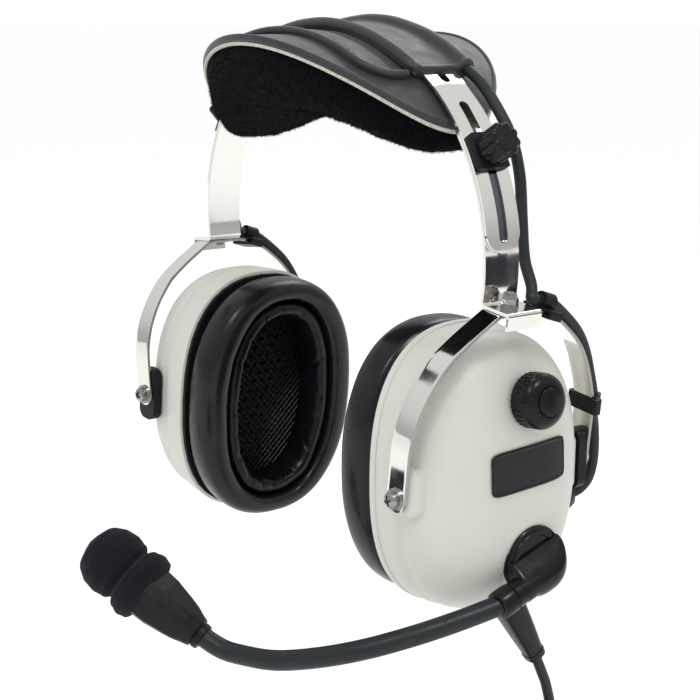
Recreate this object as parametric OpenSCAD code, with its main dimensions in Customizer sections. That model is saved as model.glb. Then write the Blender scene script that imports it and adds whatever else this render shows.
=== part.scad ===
// Aviation headset: sprung headband with a fleece head pad, two sliding arms, two stirrups,
// two dome ear cups with oval seals, and a flexible microphone boom on the left cup.
// Axes: +Z up, +X towards the wearer's left, -Y towards the face. Origin: underside of the
// head pad at the crown. Everything is in millimetres.

/* [Headband] */
// Width of the spring steel headband
band_w = 15.9; // [14:0.1:18]
// Thickness of the headband strip
band_t = 1; // [0.8:0.1:1.4]
// Height of the headband's outer face above the crown
crown_h = 32.5; // [30:0.5:36]
// Radius of the headband over the crown
crown_r = 109; // [102:1:118]
// Half sweep of the crown arc, in degrees
crown_a = 28; // [25:0.5:30]
// Radius of the headband at the sides
side_r = 80; // [76:1:84]
// Angle from vertical at which each tongue ends
tongue_a = 85.3; // [84:0.1:87]
// Width of the adjusting slot
slot_w = 4; // [3.4:0.1:4.6]
// Angle from vertical at which the adjusting slot starts
slot_a = 43.1; // [41:0.1:45]

/* [Slider arms] */
// Thickness of the slider arm and of its foot
arm_t = 1.2; // [1:0.1:1.5]
// Sliding gap between the headband and the arm
arm_gap = 0.15; // [0.1:0.01:0.3]
// Angle from vertical at which the arm's upper end lies
arm_top_a = 51.5; // [50:0.1:53]
// Radius of the arm's lower end, which leans inwards
arm_low_r = 60; // [50:1:75]
// Distance of the foot bolt outside the arm's widest point
foot_out = 4.15; // [3.8:0.05:5]
// Height of the foot's underside at the bolt, below the crown
foot_z = -64; // [-67:0.5:-62]
// Lean of the foot and the stirrup, in degrees
lean = 6; // [4:0.5:8]
// Drop of the flange that keeps the stirrup straight
flange_h = 6.2; // [4:0.1:7]

/* [Clamps] */
// Angle from vertical at which the clamp sits
clamp_a = 59; // [58:0.1:61]
// Diameter of the clamp knob
clamp_d = 13; // [11:0.1:14]
// Height of the clamp knob
clamp_h = 10; // [8:0.1:12]
// Thickness of the clamp plate
plate_t = 2.6; // [2:0.1:3.2]
// Radius of the clamp stud
stud_r = 1.35; // [1.2:0.01:1.4]

/* [Stirrups] */
// Width of the stirrup strip
stirrup_w = 12.7; // [11:0.1:13]
// Thickness of the stirrup strip
stirrup_t = 1.2; // [1:0.1:1.5]
// Half span of the stirrup over its legs
stirrup_span = 45.2; // [44.5:0.1:47]
// Radius of the stirrup's shoulders
shoulder_r = 41.2; // [38:0.1:43]
// Distance from the foot to the pivot line
pivot_drop = 64.3; // [62:0.1:67]
// Radius of the pivot screws and the foot bolts
screw_r = 1.5; // [1.3:0.05:1.6]

/* [Ear cups] */
// Half width of the ear cup, front to rear
cup_a = 40; // [38:0.1:41]
// Half height of the ear cup
cup_b = 53.5; // [51:0.1:56]
// Depth of the ear cup's dome
cup_depth = 34.5; // [33:0.1:37]
// Distance of the dome's open rim inwards of the pivot line
rim_in = 18; // [17:0.1:19]
// Height of the ear cup's centre above the pivot line
cup_rise = 1.5; // [0:0.1:3]
// Wall of the ear cup
cup_wall = 2.2; // [1.8:0.1:2.6]
// Turn of the right cup about its foot bolt, in degrees
right_turn = 3.4; // [0:0.1:4]
// Tilt of the right cup, top inwards, in degrees
right_tilt = 4.5; // [0:0.1:5]

/* [Ear seals] */
// Thickness of the ear seal
seal_t = 19; // [17:0.1:20]
// Half width of the seal's opening
open_a = 29; // [27:0.1:30]
// Half height of the seal's opening
open_b = 45; // [43:0.1:46]
// Thickness of the seal's back plate
back_t = 1.6; // [1.2:0.1:2]
// Diameter of the holes in the ear grille
grille_d = 2.2; // [1.6:0.1:2.6]
// Spacing of the holes in the ear grille
grille_pitch = 4.6; // [4.2:0.1:6]

/* [Head pad] */
// Half length of the head pad, side to side
pad_a = 71; // [68:0.5:74]
// Half width of the head pad, front to rear
pad_b = 46.8; // [43:0.1:49]
// Shift of the head pad towards the face
pad_shift = 1.7; // [0:0.1:4]
// Radius of the fleece's underside over the head
under_r = 150; // [140:1:160]
// Thickness of the pad's leather
leather_t = 1.6; // [1.2:0.1:2]

/* [Volume control] */
// Diameter of the volume knob
volume_d = 20.5; // [18:0.1:22]
// Height of the volume knob
volume_h = 10.6; // [9:0.1:12]
// Height of the volume knob above the cup's centre
volume_z = 30.5; // [28:0.1:32]
// Lean of the volume knob's axis upwards, in degrees
volume_lean = 7; // [4:0.5:9]
// Width of the blank label plate
label_w = 36.5; // [33:0.5:38]
// Height of the blank label plate
label_h = 16.5; // [14:0.5:17]

/* [Microphone boom] */
// Diameter of the flexible boom
boom_d = 7.5; // [6.5:0.1:8]
// Diameter of the boom's swivel
swivel_d = 26; // [24:0.5:27]
// Drop of the swivel's centre below the cup's centre
swivel_drop = 30; // [28:0.1:31]
// Diameter of the microphone windscreen
foam_d = 25.8; // [24:0.2:28]

/* [Cables] */
// Diameter of the cable between the ear cups
cross_d = 4.3; // [4:0.1:4.6]
// Diameter of the main cord
cord_d = 4.2; // [4:0.1:4.4]
// Length of the strain relief
relief_l = 29; // [26:0.5:32]
// Radius of the coil, at the middle of its turns
coil_r = 25; // [22:0.5:27]
// Radius of the coil's bundle of turns
bundle_r = 8.4; // [8.3:0.1:9]
// Diameter of the plug's barrel
plug_d = 7.1; // [6.3:0.1:7.5]

/* [Hidden] */

$fn = 48;
arc_fn = 180;
eps = 0.01;
steel = [0.78, 0.79, 0.80];
black = [0.10, 0.10, 0.11];
cable_black = [0.20, 0.22, 0.23];
cream = [0.86, 0.86, 0.82];
leather = [0.22, 0.23, 0.24];

// Running clearance of a screw in the strip that turns on it
screw_gap = 0.08;
// Gap between flat faces of pieces that move against each other
slip = 0.1;
// Seating gap round a piece that is fixed in its bore
fit_gap = 0.02;

// ---- Headband layout ----
// Centre of the side arcs, as [x, z]
side_c = [(crown_r - side_r) * sin(crown_a),
          crown_h - crown_r + (crown_r - side_r) * cos(crown_a)];
// Angle that a length takes up on the side arcs
function side_deg(l) = l / side_r * 180 / PI;
tip_a = tongue_a - side_deg(band_w / 2);
slot_end_a = tongue_a - side_deg(3.8);
sleeve_a = 31.4;
// Height of the headband's outer face above the crown mount, x from the middle
function band_z(x) = abs(x) < crown_r * sin(crown_a)
    ? crown_h - crown_r + sqrt(crown_r * crown_r - x * x)
    : side_c[1] + sqrt(max(0, side_r * side_r - pow(abs(x) - side_c[0], 2)));

// ---- Arm and foot layout ----
arm_r = side_r - band_t - arm_gap;
bolt_x = side_c[0] + arm_r + foot_out;
low_c = [side_c[0] + arm_r - arm_low_r, side_c[1]];
bend_r = 1;
bend_out = bend_r + arm_t;
// Angle at which the arm's lower end meets the bend of its foot
low_a = lean + asin((-bend_out - (bolt_x - low_c[0]) * sin(lean)
    - (foot_z - low_c[1]) * cos(lean)) / (arm_low_r + bend_r));
bend_c = [low_c[0] + (arm_low_r + bend_r) * cos(low_a),
          low_c[1] - (arm_low_r + bend_r) * sin(low_a)];
// Distance from the bend's centre to the bolt, along the foot
bolt_reach = (bolt_x - bend_c[0]) * cos(lean) - (foot_z - bend_c[1]) * sin(lean);
flange_gap = 0.95;
flange_x = bolt_reach + stirrup_w / 2 + flange_gap;

// ---- Stirrup and cup layout ----
stirrup_flat = stirrup_span - shoulder_r;
pad_top = stirrup_span - stirrup_t - slip;
cup_n = 2.45;
cup_k = 3.3;
lip_t = 3;
lip_out = 0.8;
rim_x = -rim_in - lip_t;
back_x = rim_x - slip - back_t;
seal_x = back_x - slip;

// A point on an oval with half axes a and b, at angle t
function oval_point(a, b, t, n = cup_n) = [
    a * sign(cos(t)) * pow(abs(cos(t)), 2 / n),
    b * sign(sin(t)) * pow(abs(sin(t)), 2 / n)];
// An oval ring of m points at x, in the YZ plane, round the cup's centre
function oval_ring(x, a, b, m, n = cup_n) = [for (i = [0 : m - 1])
    let (p = oval_point(a, b, -360 * i / m, n)) [x, p[0], p[1] + cup_rise]];
// How far the dome narrows at f, from 0 at the rim to 90 at its middle
function dome_share(f) = pow(cos(f), 2 / cup_k);
function dome_reach(f, d) = -rim_in + d * pow(sin(f), 2 / cup_k);
// Outward reach of the dome at y and z from its centre
function dome_x(y, z) = -rim_in + cup_depth * pow(max(0,
    1 - pow(pow(abs(y) / cup_a, cup_n) + pow(abs(z) / cup_b, cup_n), cup_k / cup_n)), 1 / cup_k);
// Half width of the dome at x and z from its centre
function dome_y(x, z) = cup_a * pow(pow(1 - pow((x + rim_in) / cup_depth, cup_k),
    cup_n / cup_k) - pow(abs(z) / cup_b, cup_n), 1 / cup_n);

// ---- Shared shapes ----
// Faces that join rings of points; a loop closes on itself, otherwise both ends are capped
function ring_faces(rings, m, loop) = [
    for (i = [0 : rings - (loop ? 1 : 2)]) for (j = [0 : m - 1])
        let (a = i * m + j, b = i * m + (j + 1) % m,
             c = ((i + 1) % rings) * m + (j + 1) % m, d = ((i + 1) % rings) * m + j)
        each [[a, b, c], [a, c, d]],
    if (!loop) [for (j = [m - 1 : -1 : 0]) j],
    if (!loop) [for (j = [0 : m - 1]) (rings - 1) * m + j]];
module loft(rings, loop = false) {
    m = len(rings[0]);
    polyhedron([for (r = rings) each r], ring_faces(len(rings), m, loop), convexity = 6);
}
// A round tube swept along points, with one radius for each point
function unit(v) = v / norm(v);
function path_dir(p, i) = unit(p[min(i + 1, len(p) - 1)] - p[max(i - 1, 0)]);
function tube_ring(c, d, r, m) =
    let (u = unit(cross(d, abs(d[1]) < 0.8 ? [0, 1, 0] : [1, 0, 0])), w = cross(d, u))
    [for (j = [0 : m - 1]) c + r * (cos(360 * j / m) * w + sin(360 * j / m) * u)];
// The frame is carried along, so that the rings don't twist
function next_u(u, d) = unit(u - (u * d) * d);
function carried(p, i, u) = i >= len(p) ? [] :
    let (v = next_u(u, path_dir(p, i))) concat([v], carried(p, i + 1, v));
module tube(p, r, m) {
    d0 = path_dir(p, 0);
    start = unit(cross(d0, abs(d0[1]) < 0.8 ? [0, 1, 0] : [1, 0, 0]));
    u = carried(p, 0, start);
    loft([for (i = [0 : len(p) - 1]) let (d = path_dir(p, i), w = cross(d, u[i]))
        [for (j = [0 : m - 1]) p[i] + r * (cos(360 * j / m) * w + sin(360 * j / m) * u[i])]]);
}
// A smooth curve through points, with n steps between each two
function spline(p, n) = [for (i = [0 : len(p) - 2]) for (k = [0 : n - (i < len(p) - 2 ? 1 : 0)])
    let (a = p[max(i - 1, 0)], b = p[i], c = p[i + 1], d = p[min(i + 2, len(p) - 1)], t = k / n)
    0.5 * (2 * b + (c - a) * t + (2 * a - 5 * b + 4 * c - d) * t * t
        + (3 * b - a - 3 * c + d) * t * t * t)];
// A flat arc strip, its angles measured from straight up towards +X
module arc_strip(r, t, a0, a1) {
    intersection() {
        difference() {
            circle(r, $fn = arc_fn);
            circle(r - t, $fn = arc_fn);
        }
        polygon([[0, 0], for (i = [0 : 2])
            let (a = a0 + (a1 - a0) * i / 2) 2 * r * [sin(a), cos(a)]]);
    }
}
// Stands a flat outline up in the XZ plane, w wide along Y
module upright(w) {
    rotate([90, 0, 0])
        linear_extrude(w, center = true)
            children();
}
// Sets children on the headband's outer face at an angle from vertical
module at_band(a) {
    translate([side_c[0] + side_r * sin(a), 0, side_c[1] + side_r * cos(a)])
        rotate([0, a, 0])
            children();
}
// The same on the left, or mirrored to the right
module side_of(s) {
    mirror([s < 0 ? 1 : 0, 0, 0])
        children();
}
// Sweeps a section of [height above the band, distance towards the face] over the crown
module over_crown(a_end) {
    translate([0, 0, crown_h - crown_r])
        rotate([90, 0, 0])
            rotate([0, 0, 90 - crown_a])
                rotate_extrude(angle = 2 * crown_a, $fn = arc_fn)
                    translate([crown_r, 0])
                        children();
    for (s = [1, -1])
        side_of(s)
            translate([side_c[0], 0, side_c[1]])
                rotate([90, 0, 0])
                    rotate([0, 0, 90 - a_end])
                        rotate_extrude(angle = a_end - crown_a, $fn = arc_fn)
                            translate([side_r, 0])
                                children();
}
// Places a piece in the stirrup's frame: its origin is on the foot bolt, at the foot
module in_stirrup(s) {
    if (s > 0)
        translate([bolt_x, 0, foot_z])
            rotate([0, lean, 0])
                children();
    else
        translate([-bolt_x, 0, foot_z])
            rotate([0, -lean, 0])
                rotate([0, 0, right_turn])
                    mirror([1, 0, 0])
                        children();
}
// Places a piece in the cup's frame: its origin is on the pivot line, +X outwards
module in_cup(s) {
    in_stirrup(s)
        translate([0, 0, -pivot_drop])
            rotate([0, s > 0 ? -lean : -lean - right_tilt, 0])
                children();
}
// Turns a piece that is drawn along Z so that it points outwards
module outwards() {
    rotate([0, 90, 0])
        children();
}

// ---- Headband ----
module headband_spring() {
    color(steel)
        difference() {
            upright(band_w)
                band_outline(0, band_t, tongue_a);
            for (s = [1, -1])
                side_of(s) {
                    tongue_end();
                    band_slot(slot_a, slot_end_a);
                    band_slot(30.6, 35.9);
                }
        }
}
// The crown arc is let into the side arcs a hair, so that the three join as one
join = 0.01;
module band_outline(rho, t, a_end) {
    translate([0, crown_h - crown_r])
        arc_strip(crown_r + rho - join, t - 2 * join, -crown_a - 0.3, crown_a + 0.3);
    for (s = [1, -1])
        mirror([s < 0 ? 1 : 0, 0])
            translate(side_c)
                arc_strip(side_r + rho, t, crown_a, a_end);
}
module tongue_end() {
    at_band(tip_a)
        difference() {
            translate([0, -band_w, -2 * band_t])
                cube([band_w, 2 * band_w, 4 * band_t]);
            cylinder(r = band_w / 2 + 0.02, h = 6 * band_t, center = true);
        }
}
module band_slot(a0, a1) {
    b0 = a0 + side_deg(slot_w / 2);
    b1 = a1 - side_deg(slot_w / 2);
    upright(slot_w)
        translate(side_c)
            arc_strip(side_r + band_t, 3 * band_t, b0, b1);
    for (a = [b0, b1])
        at_band(a)
            cylinder(d = slot_w + 0.04, h = 6 * band_t, center = true);
}

// ---- Leather round the headband ----
roll_r = 2.4;
roll_f = 11.5;
tunnel_f = -13;
tunnel_rho = 0.9;
tunnel_r = 3.6;
sleeve_floor = 1.6;
module band_sleeve() {
    color(leather)
        over_crown(sleeve_a)
            sleeve_section();
}
module sleeve_section() {
    difference() {
        union() {
            translate([-band_t - sleeve_floor, tunnel_f])
                square([band_t + sleeve_floor + leather_t, roll_f - tunnel_f]);
            translate([tunnel_rho, roll_f])
                circle(roll_r);
            translate([tunnel_rho, tunnel_f])
                circle(tunnel_r);
        }
        translate([-band_t - 0.05, -band_w / 2 - 0.1])
            square([band_t + 0.1, band_w + 0.2]);
        translate([tunnel_rho, tunnel_f])
            circle(cross_d / 2 + 0.05);
    }
}
flap_front = 27.5;
flap_half_a = 28.6;
module sleeve_flap() {
    color(leather)
        intersection() {
            over_crown(sleeve_a)
                union() {
                    translate([-band_t - sleeve_floor, roll_f + roll_r + 0.1])
                        square([1.4, flap_front - roll_f - roll_r]);
                    translate([pad_rho + 1.6, flap_front])
                        circle(1.5);
                }
            translate([0, -roll_f - 4, 0])
                linear_extrude(2 * crown_h)
                    rounded_box(2 * crown_r * sin(flap_half_a), 32, 10);
        }
}

// ---- Head pad ----
pad_rho = -band_t - sleeve_floor - 0.15;
module head_pad_cover() {
    color(leather)
        intersection() {
            upright(4 * pad_b)
                band_outline(pad_rho, leather_t, 64);
            translate([0, -pad_shift, -side_r])
                linear_extrude(3 * side_r)
                    polygon([for (i = [0 : 47]) oval_point(pad_a, pad_b, 7.5 * i, 2)]);
        }
}
fleece_gap = 0.3;
// Height of the fleece's upper face, just under the leather
function fleece_top(x) = band_z(x) + (pad_rho - leather_t - fleece_gap)
    / max(0.55, abs(x) < crown_r * sin(crown_a) ? sqrt(1 - pow(x / crown_r, 2))
        : sqrt(1 - pow((abs(x) - side_c[0]) / side_r, 2)));
// Height of its underside, which rounds off towards its edges
function fleece_low(x, q, t) =
    let (top = fleece_top(x), under = sqrt(under_r * under_r - x * x) - under_r)
    top - (top - under) * pow(1 - pow(abs(t), 3.5), 0.5) * pow(1 - pow(abs(q), 8), 0.5);
function fleece_ring(q) =
    let (x = q * (pad_a - 1), half = (pad_b - 1) * sqrt(1 - q * q), m = 9)
    concat(
        [for (i = [0 : m]) let (t = -cos(180 * i / m))
            [x, half * t - pad_shift, fleece_top(x) - 0.4 * t * t]],
        [for (i = [m - 1 : -1 : 1]) let (t = -cos(180 * i / m))
            [x, half * t - pad_shift, min(fleece_top(x) - 0.8, fleece_low(x, q, t))]]);
module head_pad_fleece() {
    color([0.08, 0.08, 0.09])
        loft([for (i = [0 : 16]) fleece_ring(-0.985 * cos(180 * i / 16))]);
}

// ---- Slider arms and clamps ----
module arm_outline() {
    translate(side_c)
        arc_strip(arm_r, arm_t, arm_top_a, 90);
    translate(low_c)
        arc_strip(arm_low_r, arm_t, 90 - eps, 90 + low_a + eps);
    translate(bend_c) {
        intersection() {
            difference() {
                circle(bend_out);
                circle(bend_r);
            }
            polygon([[0, 0], for (a = [180 - low_a, 225 - (low_a + lean) / 2, 270 - lean])
                4 * bend_out * [cos(a), sin(a)]]);
        }
        rotate(-lean) {
            translate([-eps, -bend_out])
                square([flange_x + eps, arm_t]);
            intersection() {
                translate([flange_x, -bend_out])
                    circle(arm_t);
                translate([flange_x - eps, -bend_out - eps])
                    square(2 * arm_t);
            }
            translate([flange_x, -bend_out - flange_h + arm_t])
                square([arm_t, flange_h - arm_t]);
        }
    }
}
// Room left between the stud's end and the bottom of the knob's bore
stud_room = 0.8;
knob_bore = clamp_h - 1.4;
stud_top = plate_t + slip + knob_bore - stud_room;
module slider_arm(s) {
    color(steel) {
        side_of(s)
            difference() {
                union() {
                    upright(band_w)
                        arm_outline();
                    at_band(clamp_a)
                        translate([0, 0, -band_t - arm_gap - arm_t / 2])
                            cylinder(r = stud_r, h = stud_top + band_t + arm_gap + arm_t / 2);
                }
                translate([bolt_x, 0, foot_z])
                    rotate([0, lean, 0])
                        cylinder(r = screw_r + 0.1, h = 3 * arm_t, center = true);
            }
    }
}
plate_w = 15;
plate_l = 14;
module clamp_plate(s) {
    color(black)
        side_of(s)
            difference() {
                at_band(clamp_a)
                    difference() {
                        linear_extrude(plate_t)
                            rounded_box(plate_l, plate_w, 2);
                        cylinder(r = stud_r + 0.05, h = 3 * plate_t, center = true);
                        for (y = [-1, 1])
                            translate([0, y * (plate_w / 2 + 1.6), plate_t])
                                rotate([0, 90, 0])
                                    cylinder(r = 2.4, h = 2 * plate_l, center = true);
                    }
                translate([side_c[0], 0, side_c[1]])
                    rotate([90, 0, 0])
                        cylinder(r = side_r + arm_gap, h = 2 * plate_w, center = true, $fn = arc_fn);
            }
}
// A box outline with round corners, made of squares and circles
module rounded_box(l, w, r) {
    square([l - 2 * r, w], center = true);
    square([l, w - 2 * r], center = true);
    for (x = [-1, 1], y = [-1, 1])
        translate([x * (l / 2 - r), y * (w / 2 - r)])
            circle(r);
}
module clamp_knob(s) {
    lobes = 8;
    skirt = 1.4;
    color(black)
        side_of(s)
            at_band(clamp_a)
                translate([0, 0, plate_t + slip])
                    difference() {
                        union() {
                            cylinder(d = 0.8 * clamp_d, h = clamp_h - 1);
                            translate([0, 0, skirt])
                                linear_extrude(clamp_h - skirt - 0.6)
                                    knob_star(lobes);
                            translate([0, 0, clamp_h - 0.6])
                                cylinder(d1 = 0.93 * clamp_d, d2 = 0.84 * clamp_d, h = 0.6);
                        }
                        translate([0, 0, -1])
                            cylinder(r = stud_r + 0.05, h = knob_bore + 1);
                    }
}
module knob_star(lobes) {
    difference() {
        circle(d = clamp_d);
        for (i = [0 : lobes - 1])
            rotate(360 * (i + 0.5) / lobes)
                translate([clamp_d * 0.56, 0])
                    circle(clamp_d * 0.12, $fn = 24);
    }
}
nut_h = 4;
washer_t = 0.6;
module foot_bolt(s) {
    under = stirrup_t + 2 * slip;
    color(steel)
        in_stirrup(s) {
            translate([0, 0, -under])
                cylinder(r = screw_r, h = under + arm_t + washer_t + nut_h + 0.5);
            translate([0, 0, -under])
                rotate([180, 0, 0])
                    cylinder(r1 = 2.3 * screw_r, r2 = 1.6 * screw_r, h = 1.2);
            translate([0, 0, arm_t + 0.02])
                difference() {
                    union() {
                        cylinder(d = 6.6, h = washer_t);
                        translate([0, 0, washer_t])
                            cylinder(d = 6.35, h = 2.4, $fn = 6);
                        translate([0, 0, washer_t + 2.4])
                            cylinder(d1 = 5.4, d2 = 4.6, h = nut_h - 2.4);
                    }
                    translate([0, 0, -1])
                        cylinder(r = screw_r + 0.02, h = 2 * nut_h);
                }
        }
}

// ---- Stirrups ----
module stirrup_outline() {
    centre_z = -slip - shoulder_r;
    leg_end = -pivot_drop - stirrup_w / 2;
    // The straights are let into the shoulders a hair, so that all join as one
    translate([-stirrup_flat - 0.4, join - slip - stirrup_t])
        square([2 * stirrup_flat + 0.8, stirrup_t - 2 * join]);
    for (s = [1, -1])
        mirror([s < 0 ? 1 : 0, 0]) {
            translate([stirrup_flat, centre_z])
                arc_strip(shoulder_r, stirrup_t, 0, 90);
            translate([stirrup_span - stirrup_t + join, leg_end])
                square([stirrup_t - 2 * join, centre_z + 0.4 - leg_end]);
        }
}
module stirrup(s) {
    color(steel)
        in_stirrup(s)
            difference() {
                rotate([90, 0, 90])
                    linear_extrude(stirrup_w, center = true)
                        stirrup_outline();
                // Rounds the ends of the legs off
                translate([0, 0, -pivot_drop])
                    rotate([90, 0, 0])
                        difference() {
                            translate([-stirrup_w, -stirrup_w, -2 * stirrup_span])
                                cube([2 * stirrup_w, stirrup_w, 4 * stirrup_span]);
                            cylinder(r = stirrup_w / 2 + 0.02, h = 5 * stirrup_span, center = true);
                        }
                cylinder(r = screw_r + screw_gap, h = 20, center = true);
                translate([0, 0, -pivot_drop])
                    rotate([90, 0, 0])
                        cylinder(r = screw_r + screw_gap, h = 3 * stirrup_span, center = true);
            }
}
// A clip holds the cable on the outer face of the strip: one ring for each
clip_l = 6;
clip_wall = 1.1;
module cable_clip() {
    loop_w = stirrup_w + 0.3;
    ring_z = stirrup_t / 2 + clip_wall + cross_d / 2 + 0.1;
    rotate([90, 0, 0])
        linear_extrude(clip_l, center = true)
            difference() {
                union() {
                    rounded_box(loop_w + 2 * clip_wall, stirrup_t + 0.2 + 2 * clip_wall, 1);
                    translate([0, ring_z])
                        circle(cross_d / 2 + clip_wall);
                }
                square([loop_w, stirrup_t + 0.1], center = true);
                translate([0, ring_z])
                    circle(cross_d / 2 + 0.05);
            }
}
clip_top_a = 18;
clip_leg_z = -42;
module cable_clips(s) {
    color(black)
        in_stirrup(s) {
            translate([0, stirrup_flat, -slip - shoulder_r])
                rotate([-clip_top_a, 0, 0])
                    translate([0, 0, shoulder_r - stirrup_t / 2])
                        cable_clip();
            translate([0, stirrup_span - stirrup_t / 2, clip_leg_z])
                rotate([-90, 0, 0])
                    cable_clip();
        }
}

// ---- Cable between the cups ----
// Height of the cable's middle above the strip's middle, where a clip holds it
clip_cable = stirrup_t / 2 + clip_wall + cross_d / 2 + 0.1;
clip_top_r = shoulder_r - stirrup_t / 2 + clip_cable;
function on_shoulder(a, lift) = [0, stirrup_flat + (clip_top_r + lift) * sin(a),
    -slip - shoulder_r + (clip_top_r + lift) * cos(a)];
clip_leg_y = stirrup_span - stirrup_t / 2 + clip_cable;
// From a point in the left stirrup's frame to the headset's frame
function from_stirrup(p) = [bolt_x + p[0] * cos(lean) + p[2] * sin(lean), p[1],
    foot_z - p[0] * sin(lean) + p[2] * cos(lean)];
tunnel_end_a = sleeve_a;
module crossover_cable_top() {
    color(cable_black)
        over_crown(tunnel_end_a)
            translate([tunnel_rho, tunnel_f])
                circle(cross_d / 2);
}
// A point of the cable where it leaves the tunnel, at an angle from vertical
function at_tunnel(a) = [side_c[0] + (side_r + tunnel_rho) * sin(a), -tunnel_f,
    side_c[1] + (side_r + tunnel_rho) * cos(a)];
rise_left = [
    at_tunnel(sleeve_a + 0.3), [64, 13, 13.5], [73, 13, 5], [81, 13, -5], [86, 13, -18],
    [88, 13, -34], [90, 13, -48], [94, 13, -57]];
rise_right = [
    at_tunnel(sleeve_a + 0.3), [68, 13.5, 14], [86, 14, 10], [104, 15, 0], [117, 16, -15],
    [121, 16, -32], [115, 15, -48], [104, 14, -58]];
// The rise on the arm and the loop on the stirrup end a little apart, above the upper clip
loop_from_a = clip_top_a - 5;
rise_end_a = loop_from_a - 1.5;
module cable_rise(s) {
    color(cable_black)
        side_of(s)
            tube(spline(concat(s > 0 ? rise_left : rise_right,
                [for (a = [rise_end_a - 3, rise_end_a]) from_stirrup(on_shoulder(a, 0))]), 3),
                cross_d / 2, 8);
}
loop_low = [[-1, 52, -52], [-2, 54.5, -62], [-4, 54, -72], [-6, 49, -79], [-7, 42, -80.5]];
module cable_loop(s) {
    color(cable_black)
        in_stirrup(s)
            tube(spline(concat([for (a = [loop_from_a, loop_from_a + 3, clip_top_a + 6, 38, 54, 70, 86])
                on_shoulder(a, 0)],
                [[0, clip_leg_y, clip_leg_z]], loop_low), 3), cross_d / 2, 8);
}
grommet_z = -16;
grommet_r = cross_d / 2 + 1;
module cable_grommet(s) {
    y0 = dome_y(0, grommet_z - cup_rise) - cup_wall;
    color(black)
        in_cup(s)
            translate([0, y0, grommet_z])
                rotate([-90, 0, 0])
                    difference() {
                        union() {
                            cylinder(r = grommet_r, h = cup_wall + 2);
                            translate([0, 0, cup_wall + 0.3])
                                cylinder(r1 = grommet_r + 1.4, r2 = grommet_r, h = 3.4);
                        }
                        translate([0, 0, -1])
                            cylinder(r = cross_d / 2 + 0.02, h = 12);
                    }
}

// ---- Ear cups ----
ring_m = 40;
outer_steps = [87, 81, 72, 62, 51, 39, 27, 14, 2];
inner_steps = [2, 16, 32, 48, 62, 74, 85];
function dome_ring(f, grow) = oval_ring(dome_reach(f, cup_depth + grow),
    (cup_a + grow) * dome_share(f), (cup_b + grow) * dome_share(f), ring_m);
function lip_ring(x, grow) = oval_ring(x, cup_a + grow, cup_b + grow, ring_m);
// Outside from its middle to the rim's lip, then up the inside
module dome_bowl() {
    loft([for (r = concat(
        [for (f = inner_steps) dome_ring(92 - f - 2, -cup_wall)],
        [lip_ring(rim_x, -cup_wall), lip_ring(rim_x, lip_out)],
        [lip_ring(-rim_in - 0.4, lip_out)],
        [for (f = outer_steps) dome_ring(90 - f, 0)])) r]);
}
boss_l = 22;
boss_w = 11;
boss_from = cup_a - 8;
// The black pivot pad stands on a low seat of the shell
pad_from = dome_y(-boss_w / 2, 0) + 0.2;
module pivot_boss(y, end) {
    translate([0, y * boss_from, 0])
        rotate([y > 0 ? -90 : 90, 0, 0])
            linear_extrude(end - boss_from)
                rounded_box(boss_w, boss_l, 3.5);
}
module cup_shell(s) {
    color(cream)
        in_cup(s)
            difference() {
                union() {
                    dome_bowl();
                    pivot_boss(-s, pad_top);
                    pivot_boss(s, pad_from - 0.05);
                    if (s > 0)
                        swivel_seat();
                }
                rotate([90, 0, 0])
                    cylinder(r = screw_r + fit_gap, h = 3 * cup_a, center = true);
                translate([0, cup_a, grommet_z])
                    rotate([90, 0, 0])
                        cylinder(r = grommet_r + fit_gap, h = 30, center = true);
                if (s > 0)
                    left_bores();
            }
}
module swivel_seat() {
    translate([swivel_x - seat_floor, swivel_y, cup_rise - swivel_drop])
        outwards()
            cylinder(d = swivel_d + 2.4, h = seat_floor);
}
// Bores for the swivel, the volume control and the strain relief
module left_bores() {
    translate([swivel_x, swivel_y, cup_rise - swivel_drop])
        outwards() {
            cylinder(d = swivel_d + 0.2, h = 9);
            cylinder(r = spigot_r + fit_gap, h = 20, center = true);
        }
    translate([dome_x(volume_y, volume_z), volume_y, cup_rise + volume_z])
        rotate([0, 90 - volume_lean, 0])
            cylinder(r = bush_r + fit_gap, h = 14, center = true);
    translate(relief_top - [pivot_x, 0, pivot_z])
        rotate([relief_tilt, 0, 0])
            cylinder(r = relief_r + fit_gap, h = 2 * relief_neck, center = true);
}
module pivot_screws(s) {
    color(steel)
        in_cup(s)
            for (y = [-1, 1])
                translate([0, y * (stirrup_span + slip), 0])
                    rotate([y > 0 ? -90 : 90, 0, 0]) {
                        translate([0, 0, -stirrup_t - 9])
                            cylinder(r = screw_r, h = stirrup_t + 9 + 1);
                        cylinder(r = 2.4 * screw_r, h = 0.6);
                        translate([0, 0, 0.6])
                            pan_head();
                    }
}
module pan_head() {
    rotate_extrude()
        difference() {
            intersection() {
                translate([0, -2.6])
                    circle(4.6);
                square([2 * screw_r, 3]);
            }
            translate([-1, 1.2])
                square([1.5, 3]);
        }
}
module pivot_pad(s) {
    color(black)
        in_cup(s)
            difference() {
                translate([0, s * pad_from, 0])
                    rotate([s > 0 ? -90 : 90, 0, 0])
                        linear_extrude(pad_top - pad_from)
                            rounded_box(boss_w, boss_l + 1, 4);
                rotate([90, 0, 0])
                    cylinder(r = screw_r + fit_gap, h = 3 * cup_a, center = true);
            }
}

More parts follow.
